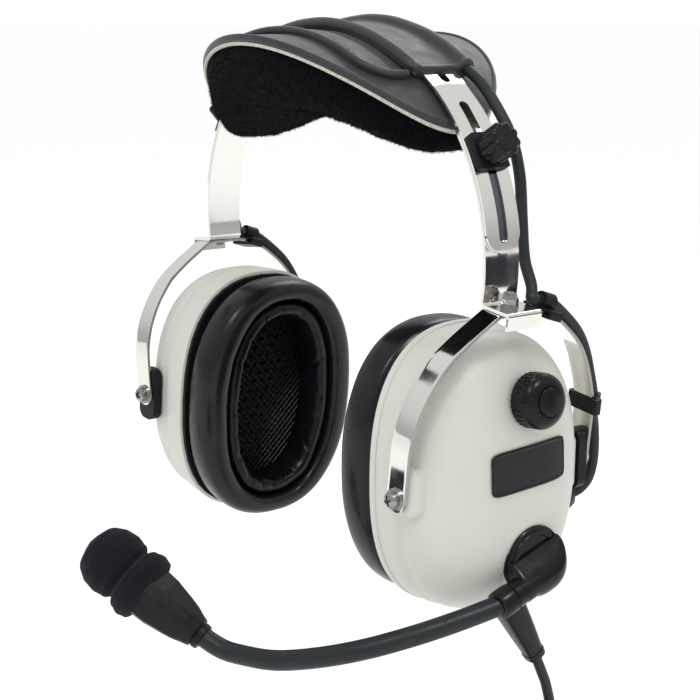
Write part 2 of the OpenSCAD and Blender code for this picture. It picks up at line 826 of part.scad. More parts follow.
// ---- Ear seals ----
module seal_plate(s) {
    rows = 9;
    columns = 5;
    step_z = grille_pitch * sqrt(3) / 2;
    color(black)
        in_cup(s)
            translate([back_x, 0, cup_rise])
                rotate([90, 0, 90])
                    linear_extrude(back_t)
                        difference() {
                            polygon([for (i = [0 : 39])
                                oval_point(cup_a - 0.6, cup_b - 0.6, 9 * i)]);
                            for (j = [-rows : rows], i = [-columns : columns])
                                let (y = (i + (j % 2 == 0 ? 0 : 0.5)) * grille_pitch, z = j * step_z)
                                    if (pow(y / 22, 2) + pow(z / 36, 2) < 1)
                                        translate([y, z])
                                            circle(d = grille_d, $fn = 16);
                        }
}
// Section of the seal: [depth share, distance from the opening's edge towards the outside]
seal_section = [[0, 0.8], [0.4, 0.2], [0.8, 0], [0.94, 1], [1, 3.2],
    [1, 5.8], [0.94, 9], [0.78, 11.4], [0.5, 11.9], [0.2, 11.3], [0, 10.2]];
module ear_seal(s) {
    color(black)
        in_cup(s)
            loft([for (p = seal_section) oval_ring(seal_x - p[0] * seal_t, open_a + p[1],
                open_b + p[1] * 0.72, ring_m, 2.3)], loop = true);
}
// Section of the liner, from its front lip to its back: [depth share, distance inwards]
liner_section = [[0.3, 1.4], [0.1, 2.4], [0.08, 3.6], [0.16, 7.4], [0.26, 8.4], [0.86, 6.6],
    [0.86, 0.6], [0.5, 0.9]];
module seal_liner(s) {
    color([0.14, 0.14, 0.16])
        in_cup(s)
            loft([for (p = liner_section) oval_ring(seal_x - p[0] * seal_t,
                open_a - p[1], open_b - p[1], 32, 2.3)], loop = true);
}

// ---- Inside the cups ----
speaker_d = 40;
module speaker(s) {
    color([0.3, 0.3, 0.32])
        in_cup(s)
            translate([back_x + back_t + 0.05, 0, cup_rise + 4])
                outwards()
                    rotate_extrude()
                        polygon([[0, 1.2], [speaker_d / 2 - 3, 2], [speaker_d / 2 - 2, 0],
                            [speaker_d / 2, 0], [speaker_d / 2, 3.5], [speaker_d / 2 - 6, 5.5],
                            [11, 7], [11, 11.5], [0, 11.5]]);
}
board_x = 2.4;
board_t = 1.6;
board_z = -6;
// Reach of the dome's inner face at y and z from its centre
function inner_x(y, z) = -rim_in + (cup_depth - cup_wall) * pow(
    1 - pow(pow(abs(y) / (cup_a - cup_wall), cup_n) + pow(abs(z) / (cup_b - cup_wall), cup_n),
    cup_k / cup_n), 1 / cup_k);
module noise_board(s) {
    color([0.10, 0.35, 0.20])
        in_cup(s)
            translate([board_x, 0, cup_rise + board_z]) {
                translate([0, -17, -22])
                    cube([board_t, 34, 44]);
                translate([-2.4, -12, -16])
                    cube([2.4, 9, 7]);
                translate([-3, 2, -8])
                    cube([3, 7, 11]);
                translate([-5.5, -5, 12])
                    outwards()
                        cylinder(d = 6.3, h = 5.5);
                // Posts that stand on the inside of the dome
                for (y = [-14, 14], z = [-18, 18])
                    translate([board_t, y, z])
                        outwards()
                            cylinder(d = 4, h = inner_x(y, z + board_z) - board_x - board_t - 0.5);
            }
}

// ---- Volume knob and label ----
volume_y = 3.6;
module in_volume() {
    in_cup(1)
        translate([dome_x(volume_y, volume_z), volume_y, cup_rise + volume_z])
            rotate([0, -volume_lean, 0])
                children();
}
shaft_r = 3;
bush_r = 3.5;
// The knob stands clear of the bush, and its bore ends clear of the shaft
knob_lift = 1.1;
knob_roof = 2.4;
volume_bore = volume_h - knob_roof;
module volume_pot() {
    color(steel)
        in_volume()
            outwards() {
                cylinder(r = shaft_r, h = knob_lift + volume_bore - 0.2);
                translate([0, 0, -cup_wall - 3.5])
                    cylinder(r = bush_r, h = cup_wall + 4.3);
                translate([0, 0, -cup_wall - 9.5])
                    cylinder(d = 16, h = 6);
            }
}
module volume_knob() {
    skirt_h = 5.4;
    shoulder_h = 9.8;
    cap_r = 5.4;
    color(black)
        in_volume()
            translate([knob_lift, 0, 0])
                outwards()
                    difference() {
                        union() {
                            linear_extrude(skirt_h)
                                knurled(volume_d / 2, 30);
                            translate([0, 0, skirt_h])
                                rotate_extrude()
                                    knob_shoulder(shoulder_h - skirt_h, cap_r);
                            translate([0, 0, shoulder_h - eps])
                                cylinder(r1 = cap_r, r2 = cap_r - 0.5, h = volume_h - shoulder_h);
                        }
                        translate([0, 0, -1])
                            cylinder(r = shaft_r + 0.05, h = volume_bore + 1);
                    }
}
module knurled(r, n) {
    difference() {
        circle(r);
        for (i = [0 : n - 1])
            rotate(360 * i / n)
                translate([r + 0.3, 0])
                    circle(0.7, $fn = 16);
    }
}
// Quarter-round shoulder between the knurled skirt and the cap
module knob_shoulder(h, cap_r) {
    r = volume_d / 2 - 0.5;
    intersection() {
        union() {
            square([r - h, h]);
            translate([r - h, 0])
                circle(h);
        }
        square([r, h]);
    }
}
label_y = 4;
label_z = 5;
label_t = 0.9;
label_turn = 3;
label_over = 2;
module label_plate() {
    color([0.24, 0.25, 0.26])
        in_cup(1)
            intersection() {
                loft([for (i = [0 : 10]) label_ring(label_y + (i / 5 - 1) * (label_w / 2 + label_over))]);
                translate([0, label_y, cup_rise + label_z])
                    rotate([90, 0, 90])
                        linear_extrude(60)
                            rotate(label_turn)
                                rounded_box(label_w, label_h, 2);
            }
}
// A slice of the label at y: down its outer face and back up the face on the dome
function label_ring(y) = [
    for (k = [4 : -1 : 0]) label_point(y, k, label_t),
    for (k = [0 : 4]) label_point(y, k, 0.05)];
function label_point(y, k, lift) = let (z = label_z + (k / 2 - 1) * (label_h / 2 + label_over))
    [dome_x(y, z) + lift, y, cup_rise + z];

// ---- Microphone boom ----
swivel_y = 7;
boom_dip = 13;
base_h = 2;
disc_h = 2.4;
house_r = 5.2;
// The swivel stands on a flat seat let into the dome
swivel_x = dome_x(swivel_y, swivel_drop) - 0.8;
seat_floor = 5;
spigot_r = 5;
house_x = base_h + slip + disc_h + 3.1;
// The boom's sleeve runs into the swivel's rim, so their outer faces line up
rim_r = swivel_d / 2 - 0.3;
boom_offset = rim_r - house_r;
module at_swivel() {
    in_cup(1)
        translate([swivel_x, swivel_y, cup_rise - swivel_drop])
            children();
}
axle_r = 3;
module boom_base() {
    color(black)
        at_swivel()
            outwards()
                difference() {
                    union() {
                        cylinder(d = swivel_d, h = base_h);
                        translate([0, 0, -7])
                            cylinder(r = spigot_r, h = 7);
                    }
                    translate([0, 0, -8])
                        cylinder(r = axle_r + 0.06, h = 20);
                }
}
// Turns children so that +X runs along the boom and +Z outwards from the cup
module along_boom() {
    outwards()
        rotate([0, 0, boom_dip - 90])
            children();
}
house_front = 13.2;
collar_l = 7.2;
// The raised half of the swivel ends at a straight edge, this far past its middle
ridge_over = 1.9;
module boom_swivel() {
    color(black)
        at_swivel()
            difference() {
                union() {
                    outwards() {
                        translate([0, 0, base_h + slip])
                            cylinder(r = rim_r, h = disc_h);
                        translate([0, 0, -6])
                            cylinder(r = axle_r, h = base_h + slip + 7);
                    }
                    along_boom() {
                        translate([-eps, boom_offset, house_x])
                            rotate([0, 90, 0])
                                cylinder(r = house_r - eps, h = house_front + eps);
                        intersection() {
                            rotate_extrude($fn = 96)
                                swivel_half_section();
                            translate([-swivel_d, -ridge_over, base_h + slip])
                                cube([2 * swivel_d, swivel_d, 3 * house_x]);
                        }
                    }
                }
                along_boom()
                    translate([house_front - 5, boom_offset, house_x])
                        rotate([0, 90, 0])
                            cylinder(d = boom_d + 0.04, h = 20);
            }
}
// Flat on top, with a rim as round as the boom's sleeve
module swivel_half_section() {
    translate([0, base_h + slip + 0.2])
        square([boom_offset, house_x + house_r - base_h - slip - 0.2]);
    intersection() {
        translate([boom_offset, house_x])
            circle(house_r);
        translate([boom_offset - eps, 0])
            square([house_r + 1, 2 * house_x]);
    }
    translate([0, base_h + slip + 0.2])
        square([rim_r - eps, house_x - base_h - slip - 0.2]);
}
module boom_collar() {
    color(black)
        at_swivel()
            along_boom()
                translate([house_front + 0.05, boom_offset, house_x])
                    rotate([0, 90, 0])
                        difference() {
                            union() {
                                cylinder(r = house_r - 0.1, h = collar_l - 1);
                                cylinder(r = house_r - 0.8, h = collar_l);
                            }
                            translate([0, 0, -1])
                                cylinder(d = boom_d + 0.04, h = 20);
                            translate([0, -0.4, 2])
                                cube([20, 0.8, 20]);
                        }
}
// The boom's route in the headset's frame, from the swivel to the microphone
boom_route = [
    [107.5, -30, -170.9], [101.5, -47, -175], [92, -60.5, -179.9], [79, -71, -184.9],
    [64, -78.5, -189.4], [51, -84, -190.7], [42, -88, -190.1]];
housing_at = [36, -91.6, -187.4];
housing_dir = unit([-22, -12.5, 16]);
// Ends of the boom in the collar and in the microphone's housing
boom_start = house_front - 4.5;
function at_boom(along) = [pivot_x + swivel_x + house_x,
    swivel_y - along * cos(boom_dip) + boom_offset * sin(boom_dip),
    pivot_z + cup_rise - swivel_drop - along * sin(boom_dip) - boom_offset * cos(boom_dip)];
pivot_x = bolt_x - pivot_drop * sin(lean);
pivot_z = foot_z - pivot_drop * cos(lean);
module boom_tube() {
    color(cable_black)
        tube(concat([at_boom(boom_start), at_boom(house_front + 2)],
            spline(concat([at_boom(house_front + collar_l + 1)], boom_route,
                [housing_at + 2 * housing_dir]), 3)), boom_d / 2, 12);
}
// Places children at the microphone's housing, +X along it away from the boom
module at_housing() {
    translate(housing_at)
        rotate([0, -asin(housing_dir[2]), atan2(housing_dir[1], housing_dir[0])])
            children();
}
housing_l = 25;
function block_ring(x, w, h, r) = [for (q = [0 : 3]) for (k = [0 : 3])
    let (a = 90 * q + 30 * k, sx = q == 0 || q == 3 ? 1 : -1, sy = q < 2 ? 1 : -1)
    [x, sx * (w / 2 - r) + r * cos(a), -sy * (h / 2 - r) - r * sin(a)]];
module mic_housing() {
    color([0.16, 0.16, 0.16])
        at_housing()
            difference() {
                union() {
                    loft([block_ring(3, 10.6, 10.6, 5.2), block_ring(6, 11.5, 11, 5),
                        block_ring(13, 14, 13, 3), block_ring(19, 16.5, 15, 2.2),
                        block_ring(housing_l, 17, 16, 2)]);
                    rotate([0, 90, 0])
                        cylinder(r = 5, h = 4);
                }
                translate([-1, 0, 0])
                    rotate([0, 90, 0])
                        cylinder(d = boom_d + 0.04, h = 9);
                translate([housing_l - 6, 0, 0])
                    rotate([0, 90, 0])
                        cylinder(r = 5.2, h = 10);
            }
}
module mic_capsule() {
    color(steel)
        at_housing()
            translate([housing_l - 5.9, 0, 0])
                rotate([0, 90, 0])
                    cylinder(r = 5.1, h = 10);
}
foam_rings = [[0, 7.4], [0.4, 9.6], [2.2, 12], [5.5, 12.9], [9, 12.2], [11.6, 11.1], [14.4, 12.2],
    [19, 12.9], [23.6, 12.2], [27.6, 10], [30.4, 6.8], [31.8, 2.6]];
foam_scale = foam_d / 25.8;
module mic_windscreen() {
    color([0.10, 0.11, 0.12])
        at_housing()
            translate([housing_l + 0.05, 0, 0])
                difference() {
                    loft([for (p = foam_rings) [for (j = [0 : 19])
                        [p[0] * foam_scale, p[1] * foam_scale * cos(18 * j),
                         -p[1] * foam_scale * sin(18 * j)]]]);
                    translate([-1, 0, 0])
                        rotate([0, 90, 0])
                            cylinder(r = 5.3, h = 5.6);
                }
}

// ---- Main cord ----
// The relief's neck stands in a bore of the left cup; its boot starts at relief_top
relief_top = [97, 3.8, -176.6];
relief_dir = unit([0, 13.5, -21.9]);
relief_tilt = atan2(relief_dir[1], -relief_dir[2]);
relief_r = 5.6;
relief_neck = 17;
module strain_relief() {
    color(black)
        translate(relief_top)
            rotate([relief_tilt, 0, 0])
                mirror([0, 0, 1])
                    difference() {
                        union() {
                            loft([for (p = [[-1, 10.8, 10.8, 5], [3, 10.6, 11.2, 3.6],
                                [relief_l - 3, 7.2, 7.6, 2.4], [relief_l - 1, 6.4, 6.8, 2.2]])
                                [for (c = block_ring(0, p[1], p[2], p[3])) [c[1], c[2], p[0]]]]);
                            translate([0, 0, -relief_neck])
                                cylinder(r = relief_r, h = relief_neck);
                        }
                        translate([0, 0, relief_l - 8])
                            cylinder(d = cord_d + 0.04, h = 10);
                    }
}
// The cord's route from the strain relief to the side of the coil, which it meets at coil_in
cord_from = relief_top + (relief_l - 6) * relief_dir;
coil_in = 75;
strand_r = coil_r + bundle_r - cord_d / 2;
coil_at = cord_from + [0, 18.8 - strand_r * sin(coil_in), -53.8 - strand_r * cos(coil_in)];
cord_route = [
    cord_from, cord_from + 6 * relief_dir, cord_from + [0, 6.1, -11.3],
    cord_from + [0, 8.9, -17.2], cord_from + [0, 10.8, -23.2], cord_from + [0, 12.5, -29.6],
    cord_from + [0, 14.2, -36], cord_from + [0, 15.8, -42], cord_from + [0, 17.3, -48],
    cord_from + [0, 18.8, -53.8]];
module cord_lead() {
    color(cable_black)
        tube(cord_route, cord_d / 2, 8);
}
// The free end leaves the coil at its side and hangs down to the plug
tail_route = [
    coil_at + [-4.2, 25.7, 14.9], coil_at + [-4.7, 29, 9.3], coil_at + [-5.2, 32.2, 3.8],
    coil_at + [-5.8, 35.3, -1.8], coil_at + [-6.3, 37.9, -7.6], coil_at + [-6.7, 39.7, -13.2],
    coil_at + [-7, 40.3, -19], coil_at + [-7, 40.3, -24]];
module cord_tail() {
    color(cable_black)
        tube(tail_route, cord_d / 2, 8);
}
module cord_coil() {
    color(cable_black)
        translate(coil_at)
            rotate([0, 90, 0])
                rotate_extrude($fn = 72)
                    translate([coil_r, 0])
                        circle(bundle_r, $fn = 32);
}
plug_top = tail_route[7] + [0, 0, 1];
// Lengths of the plug's boot, grip, barrel and tip, and the grip's radius
boot_l = 15;
grip_l = 26;
barrel_l = 23;
tip_l = 7.5;
grip_r = 6.4;
module cord_plug() {
    collar_z = boot_l + grip_l;
    barrel_z = collar_z + barrel_l;
    color(black)
        translate(plug_top)
            mirror([0, 0, 1])
                rotate_extrude()
                    polygon([[0, 0], [cord_d / 2 + 0.9, 0], [cord_d / 2 + 1.7, boot_l - 1],
                        [grip_r - 1.4, boot_l], [grip_r, boot_l], [grip_r, collar_z - 3],
                        [grip_r - 1.2, collar_z - 1], [grip_r - 1.2, collar_z],
                        [plug_d / 2, collar_z], [plug_d / 2, barrel_z],
                        [plug_d / 2 - 0.9, barrel_z + 2], [plug_d / 2 - 0.9, barrel_z + 3.5],
                        [plug_d / 2 - 0.2, barrel_z + 4.5], [0, barrel_z + tip_l]]);
}

headband_spring();
band_sleeve();
sleeve_flap();
head_pad_cover();
head_pad_fleece();
crossover_cable_top();
slider_arm(1);  // slider_arm_left
slider_arm(-1);  // slider_arm_right
clamp_plate(1);  // clamp_plate_left
clamp_plate(-1);  // clamp_plate_right
clamp_knob(1);  // clamp_knob_left
clamp_knob(-1);  // clamp_knob_right
foot_bolt(1);  // foot_bolt_left
foot_bolt(-1);  // foot_bolt_right
stirrup(1);  // stirrup_left
stirrup(-1);  // stirrup_right
cable_clips(1);  // cable_clips_left
cable_clips(-1);  // cable_clips_right
cable_rise(1);  // crossover_cable_rise_left
cable_rise(-1);  // crossover_cable_rise_right
cable_loop(1);  // crossover_cable_loop_left
cable_loop(-1);  // crossover_cable_loop_right
cup_shell(1);  // cup_shell_left
cup_shell(-1);  // cup_shell_right
pivot_screws(1);  // pivot_screws_left
pivot_screws(-1);  // pivot_screws_right
pivot_pad(1);  // pivot_pad_left
pivot_pad(-1);  // pivot_pad_right
seal_plate(1);  // seal_plate_left
seal_plate(-1);  // seal_plate_right
ear_seal(1);  // ear_seal_left
ear_seal(-1);  // ear_seal_right
seal_liner(1);  // seal_liner_left
seal_liner(-1);  // seal_liner_right
speaker(1);  // speaker_left
speaker(-1);  // speaker_right
noise_board(1);  // noise_board_left
noise_board(-1);  // noise_board_right
cable_grommet(1);  // cable_grommet_left
cable_grommet(-1);  // cable_grommet_right
volume_pot();
volume_knob();
label_plate();
boom_base();
boom_swivel();
boom_collar();
boom_tube();
mic_housing();
mic_capsule();
mic_windscreen();
strain_relief();
cord_lead();
cord_coil();
cord_tail();
cord_plug();
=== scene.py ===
import bisect
import math
import random

import bmesh
import bpy
from mathutils import Matrix, Vector, noise


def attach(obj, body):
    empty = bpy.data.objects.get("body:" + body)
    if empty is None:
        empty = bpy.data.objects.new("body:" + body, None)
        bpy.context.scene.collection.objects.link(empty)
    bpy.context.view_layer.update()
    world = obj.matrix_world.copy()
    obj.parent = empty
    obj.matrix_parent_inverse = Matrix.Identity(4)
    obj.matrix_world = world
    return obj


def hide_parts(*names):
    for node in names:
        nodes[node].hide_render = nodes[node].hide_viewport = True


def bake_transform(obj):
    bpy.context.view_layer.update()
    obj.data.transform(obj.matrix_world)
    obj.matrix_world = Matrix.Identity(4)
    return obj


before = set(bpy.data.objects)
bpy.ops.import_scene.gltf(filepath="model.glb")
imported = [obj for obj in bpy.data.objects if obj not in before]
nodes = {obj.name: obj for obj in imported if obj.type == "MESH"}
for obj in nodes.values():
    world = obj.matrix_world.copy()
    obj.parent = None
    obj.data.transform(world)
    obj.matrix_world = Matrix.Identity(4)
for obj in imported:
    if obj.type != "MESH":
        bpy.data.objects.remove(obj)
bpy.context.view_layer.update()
MM = 0.001
SIDES = ("left", "right")

# ---- camera


def make_camera():
    """Looks down a little from the face side, past the left cup."""
    azimuth, elevation, roll = (math.radians(a) for a in (52.96, 13.06, 0.457))
    level = math.cos(elevation)
    back = Vector((math.sin(azimuth) * level, -math.cos(azimuth) * level, math.sin(elevation)))
    across = Vector((math.cos(azimuth), math.sin(azimuth), 0))
    up = back.cross(across)
    right = across * math.cos(roll) + up * math.sin(roll)
    top = up * math.cos(roll) - across * math.sin(roll)
    turn = Matrix((right, top, back)).transposed()
    data = bpy.data.cameras.new("camera")
    data.sensor_width = 36
    data.sensor_fit = "HORIZONTAL"
    data.lens = 79.52
    data.clip_start = 0.02
    data.clip_end = 20
    camera = bpy.data.objects.new("camera", data)
    bpy.context.scene.collection.objects.link(camera)
    camera.matrix_world = Matrix.Translation((0.4927, -0.3696, 0.0457)) @ turn.to_4x4()
    bpy.context.scene.camera = camera


make_camera()

# ---- sizes in mm

BAND_T, CROWN_H, CROWN_R, CROWN_A, SIDE_R = 1.0, 32.5, 109.0, 28.0, 80.0
SIDE_X = (CROWN_R - SIDE_R) * math.sin(math.radians(CROWN_A))
SIDE_Z = CROWN_H - CROWN_R + (CROWN_R - SIDE_R) * math.cos(math.radians(CROWN_A))
BAND_GAP, FOOT_OUT = 0.15, 4.15
BOLT_X = SIDE_X + SIDE_R - BAND_T - BAND_GAP + FOOT_OUT
FOOT_Z, LEAN, DROP = -64.0, 6.0, 64.3
RIGHT_TURN, RIGHT_TILT = 3.4, 4.5
CUP_A, CUP_B, CUP_DEPTH, RIM_IN, CUP_RISE, CUP_N, CUP_K = 40.0, 53.5, 34.5, 18.0, 1.5, 2.45, 3.3
SEAL_X, SEAL_T, OPEN_A, OPEN_B, SEAL_N = -22.8, 19.0, 29.0, 45.0, 2.3
PAD_A, PAD_B, PAD_SHIFT, UNDER_R, UNDER_LEFT_R = 71.0, 46.8, 1.7, 116.0, 150.0
PAD_RHO, LEATHER_T = -2.75, 1.6
CORD_D, CROSS_D = 4.2, 4.3
SHOULDER_R, SPAN, STRIP_T = 41.2, 45.2, 1.2
SLEEVE_A, TUNNEL_Y, TUNNEL_RHO = 31.4, 13.0, 0.9


def sine(a):
    return math.sin(math.radians(a))


def cosine(a):
    return math.cos(math.radians(a))


def turned(axis, a):
    return Matrix.Rotation(math.radians(a), 4, axis)


def moved(*p):
    return Matrix.Translation(p)


METRES = Matrix.Scale(MM, 4)
STIRRUP = {
    "left": METRES @ moved(BOLT_X, 0, FOOT_Z) @ turned("Y", LEAN),
    "right": METRES @ moved(-BOLT_X, 0, FOOT_Z) @ turned("Y", -LEAN) @ turned("Z", RIGHT_TURN)
    @ Matrix.Scale(-1, 4, (1, 0, 0)),
}
CUP = {
    "left": STIRRUP["left"] @ moved(0, 0, -DROP) @ turned("Y", -LEAN),
    "right": STIRRUP["right"] @ moved(0, 0, -DROP) @ turned("Y", -LEAN - RIGHT_TILT),
}


def band_point(s, a, rho, y):
    """A point at an angle from vertical round the band, rho outside its outer face."""
    if a <= CROWN_A:
        r, x, z = CROWN_R + rho, 0.0, CROWN_H - CROWN_R
    else:
        r, x, z = SIDE_R + rho, SIDE_X, SIDE_Z
    return Vector((s * (x + r * sine(a)), y, z + r * cosine(a))) * MM


def band_z(x):
    """The height of the band's outer face at x."""
    x = abs(x)
    if x < CROWN_R * sine(CROWN_A):
        return CROWN_H - CROWN_R + math.sqrt(CROWN_R**2 - x * x)
    return SIDE_Z + math.sqrt(max(0.0, SIDE_R**2 - (x - SIDE_X) ** 2))


def band_slope(x):
    """Cosine of the band's slope at x."""
    x = abs(x)
    if x < CROWN_R * sine(CROWN_A):
        return math.sqrt(1 - (x / CROWN_R) ** 2)
    return math.sqrt(max(0.04, 1 - ((x - SIDE_X) / SIDE_R) ** 2))


def power(v, e):
    return math.copysign(abs(v) ** e, v)


def bell(v, wide):
    """1 at v = 0, and soft to 0 on both sides."""
    return math.exp(-((v / wide) ** 2))


def dome_x(y, z):
    """How far out the dome is, in the cup's frame with z from its middle."""
    q = (abs(y) / CUP_A) ** CUP_N + (abs(z) / CUP_B) ** CUP_N
    return -RIM_IN + CUP_DEPTH * max(0.0, 1 - q ** (CUP_K / CUP_N)) ** (1 / CUP_K)


SWIVEL_Y, SWIVEL_DROP = 7.0, 30.0
SWIVEL = Vector((dome_x(SWIVEL_Y, SWIVEL_DROP) - 0.8, SWIVEL_Y, CUP_RISE - SWIVEL_DROP))

# ---- shared modelling steps


def nothing_selected():
    if bpy.context.object and bpy.context.object.mode != "OBJECT":
        bpy.ops.object.mode_set(mode="OBJECT")
    bpy.ops.object.select_all(action="DESELECT")


def named(name):
    obj = bpy.context.object
    obj.name = name
    obj.data.name = name
    return obj


def only(obj):
    nothing_selected()
    bpy.context.view_layer.objects.active = obj
    obj.select_set(True)
    return obj


def modified(obj, kind, **values):
    """Adds one modifier and applies it."""
    only(obj)
    m = obj.modifiers.new(kind.lower(), kind)
    for k, v in values.items():
        setattr(m, k, v)
    bpy.ops.object.modifier_apply(modifier=m.name)
    return obj


def placed(obj, matrix):
    """Takes a piece from its own frame to its place in the headset."""
    obj.data.transform(obj.matrix_world)
    obj.matrix_world = Matrix.Identity(4)
    obj.data.transform(matrix)
    if matrix.determinant() < 0:
        obj.data.flip_normals()
    return obj


def edit(obj):
    """Opens a mesh in edit mode."""
    only(obj)
    bpy.ops.object.mode_set(mode="EDIT")
    return bmesh.from_edit_mesh(obj.data)


def edited(obj):
    bmesh.update_edit_mesh(obj.data)
    bpy.ops.object.mode_set(mode="OBJECT")


def outward(obj):
    edit(obj)
    bpy.ops.mesh.select_all(action="SELECT")
    bpy.ops.mesh.normals_make_consistent(inside=False)
    bpy.ops.object.mode_set(mode="OBJECT")


def smooth(obj, angle):
    """Shades smooth, up to an angle or, with None, all over."""
    only(obj)
    if angle is None:
        bpy.ops.object.shade_smooth()
    else:
        bpy.ops.object.shade_smooth_by_angle(angle=math.radians(angle))
    return obj


def joined(first, *others):
    nothing_selected()
    for o in others:
        o.select_set(True)
    first.select_set(True)
    bpy.context.view_layer.objects.active = first
    bpy.ops.object.join()
    return first


def finished(obj, body, material, slot, *replaced):
    """Gives a piece its finish and the body that it moves with."""
    obj.data.materials.clear()
    obj.data.materials.append(material)
    for p in getattr(obj.data, "polygons", ()):
        p.material_index = 0
    if body:
        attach(obj, body)
    if replaced:
        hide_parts(*replaced)
    return obj


def settled(obj, matrix, angle, body, material, slot, *replaced):
    """Shades a piece smooth up to an angle, and puts it in place with its finish."""
    smooth(obj, angle)
    placed(obj, matrix)
    return finished(obj, body, material, slot, *replaced)


def built(obj, *how):
    """The same for a piece whose faces may still look inwards."""
    outward(obj)
    return settled(obj, *how)


def on_curve(a, b, c, d, t):
    """The point at t, from b to c, on a smooth curve through four points."""
    return 0.5 * (
        2 * b + (c - a) * t + (2 * a - 5 * b + 4 * c - d) * t * t + (3 * b - a - 3 * c + d) * t**3
    )


def spline_points(points, steps):
    """A smooth curve through points, with the same steps between each two."""
    p = [Vector(v) for v in points]
    out = []
    for i in range(len(p) - 1):
        near = p[max(i - 1, 0)], p[i], p[i + 1], p[min(i + 2, len(p) - 1)]
        last = i == len(p) - 2
        out += [on_curve(*near, k / steps) for k in range(steps + (1 if last else 0))]
    return out


def line_curve(name, points, radius, sides):
    """A round curve through points in metres."""
    data = bpy.data.curves.new(name, "CURVE")
    data.dimensions = "3D"
    data.bevel_depth = radius
    data.bevel_resolution = sides
    data.use_fill_caps = True
    line = data.splines.new("POLY")
    line.points.add(len(points) - 1)
    for q, p in zip(line.points, points):
        q.co = (*p, 1)
    line.use_smooth = True
    obj = bpy.data.objects.new(name, data)
    bpy.context.scene.collection.objects.link(obj)
    return obj


def tube(name, points, radius, sides):
    only(line_curve(name, points, radius, sides))
    bpy.ops.object.convert(target="MESH")
    return smooth(bpy.context.object, 50)


def block(name, size, at, bevel, segments):
    nothing_selected()
    bpy.ops.mesh.primitive_cube_add(size=1, location=at)
    obj = named(name)
    obj.scale = size
    bpy.ops.object.transform_apply(location=True, rotation=True, scale=True)
    return modified(obj, "BEVEL", width=bevel, segments=segments, limit_method="NONE")


def revolved(name, profile, steps=64):
    """Spins a profile of (along, radius) round the X axis."""
    nothing_selected()
    bpy.ops.mesh.primitive_circle_add(vertices=3, radius=1)
    obj = named(name)
    mesh = bmesh.new()
    ring = [mesh.verts.new((a, r, 0)) for a, r in profile]
    for a, b in zip(ring, ring[1:]):
        mesh.edges.new((a, b))
    mesh.to_mesh(obj.data)
    mesh.free()
    edit(obj)
    bpy.ops.mesh.select_all(action="SELECT")
    bpy.ops.mesh.spin(steps=steps, angle=2 * math.pi, center=(0, 0, 0), axis=(1, 0, 0))
    bpy.ops.mesh.select_all(action="SELECT")
    bpy.ops.mesh.remove_doubles(threshold=0.001)
    bpy.ops.mesh.normals_make_consistent(inside=False)
    bpy.ops.object.mode_set(mode="OBJECT")
    return obj


# ---- main cord


RELIEF_TOP, RELIEF_WAY = Vector((97, 3.8, -176.6)), Vector((0, 13.5, -21.9)).normalized()


def main_cord_path():
    """Relief, lead, nine turns that lie round one another, and the free end, in metres."""
    start = RELIEF_TOP + 23 * RELIEF_WAY
    steps = [
        (0, 0), None, (6.1, -11.3), (8.9, -17.2), (10.8, -23.2), (12.5, -29.6),
        (14.2, -36), (15.8, -42), (17.3, -48),
    ]
    lead = [start + 6 * RELIEF_WAY if s is None else start + Vector((0, *s)) for s in steps]
    coil_r, minor, meet = 25.0, 6.3, 75.0
    reach = coil_r + minor
    centre = start + Vector((0, 18.8 - reach * sine(meet), -53.8 - reach * cosine(meet)))
    turns = []
    last, count = 8 * 360 + 60 - meet, 200
    for i in range(count + 1):
        t = last * i / count
        r = coil_r + minor * cosine(t / 9)
        a = meet + t
        turns.append(centre + Vector((minor * sine(t / 9), r * sine(a), r * cosine(a))))
    tail = [
        (-4.7, 29, 9.3), (-5.2, 32.2, 3.8), (-5.8, 35.3, -1.8), (-6.3, 37.9, -7.6),
        (-6.7, 39.7, -13.2), (-7, 40.3, -19), (-7, 40.3, -24),
    ]
    tail = [centre + Vector(t) for t in tail]
    return [p * MM for p in lead + turns + tail], centre


cord_path, coil_centre = main_cord_path()
main_cord = line_curve("main_cord", cord_path, CORD_D / 2 * MM, 3)

# ---- finishes


class Nodes:
    """Adds nodes to a tree and links them."""

    def __init__(self, tree):
        self.tree = tree

    @staticmethod
    def set(node, socket, value):
        node.inputs[socket].default_value = value

    def node(self, kind, **values):
        n = self.tree.nodes.new(kind)
        for k, v in values.items():
            setattr(n, k, v)
        return n

    def link(self, a, b):
        self.tree.links.new(a, b)

    def split(self, source):
        n = self.node("ShaderNodeSeparateXYZ")
        self.link(source, n.inputs["Vector"])
        return n.outputs

    def maths(self, operation, *values):
        """One sum; a value is a number or the output of another node."""
        n = self.node("ShaderNodeMath", operation=operation)
        for socket, value in zip(n.inputs, values):
            if isinstance(value, float):
                socket.default_value = value
            else:
                self.link(value, socket)
        return n.outputs[0]


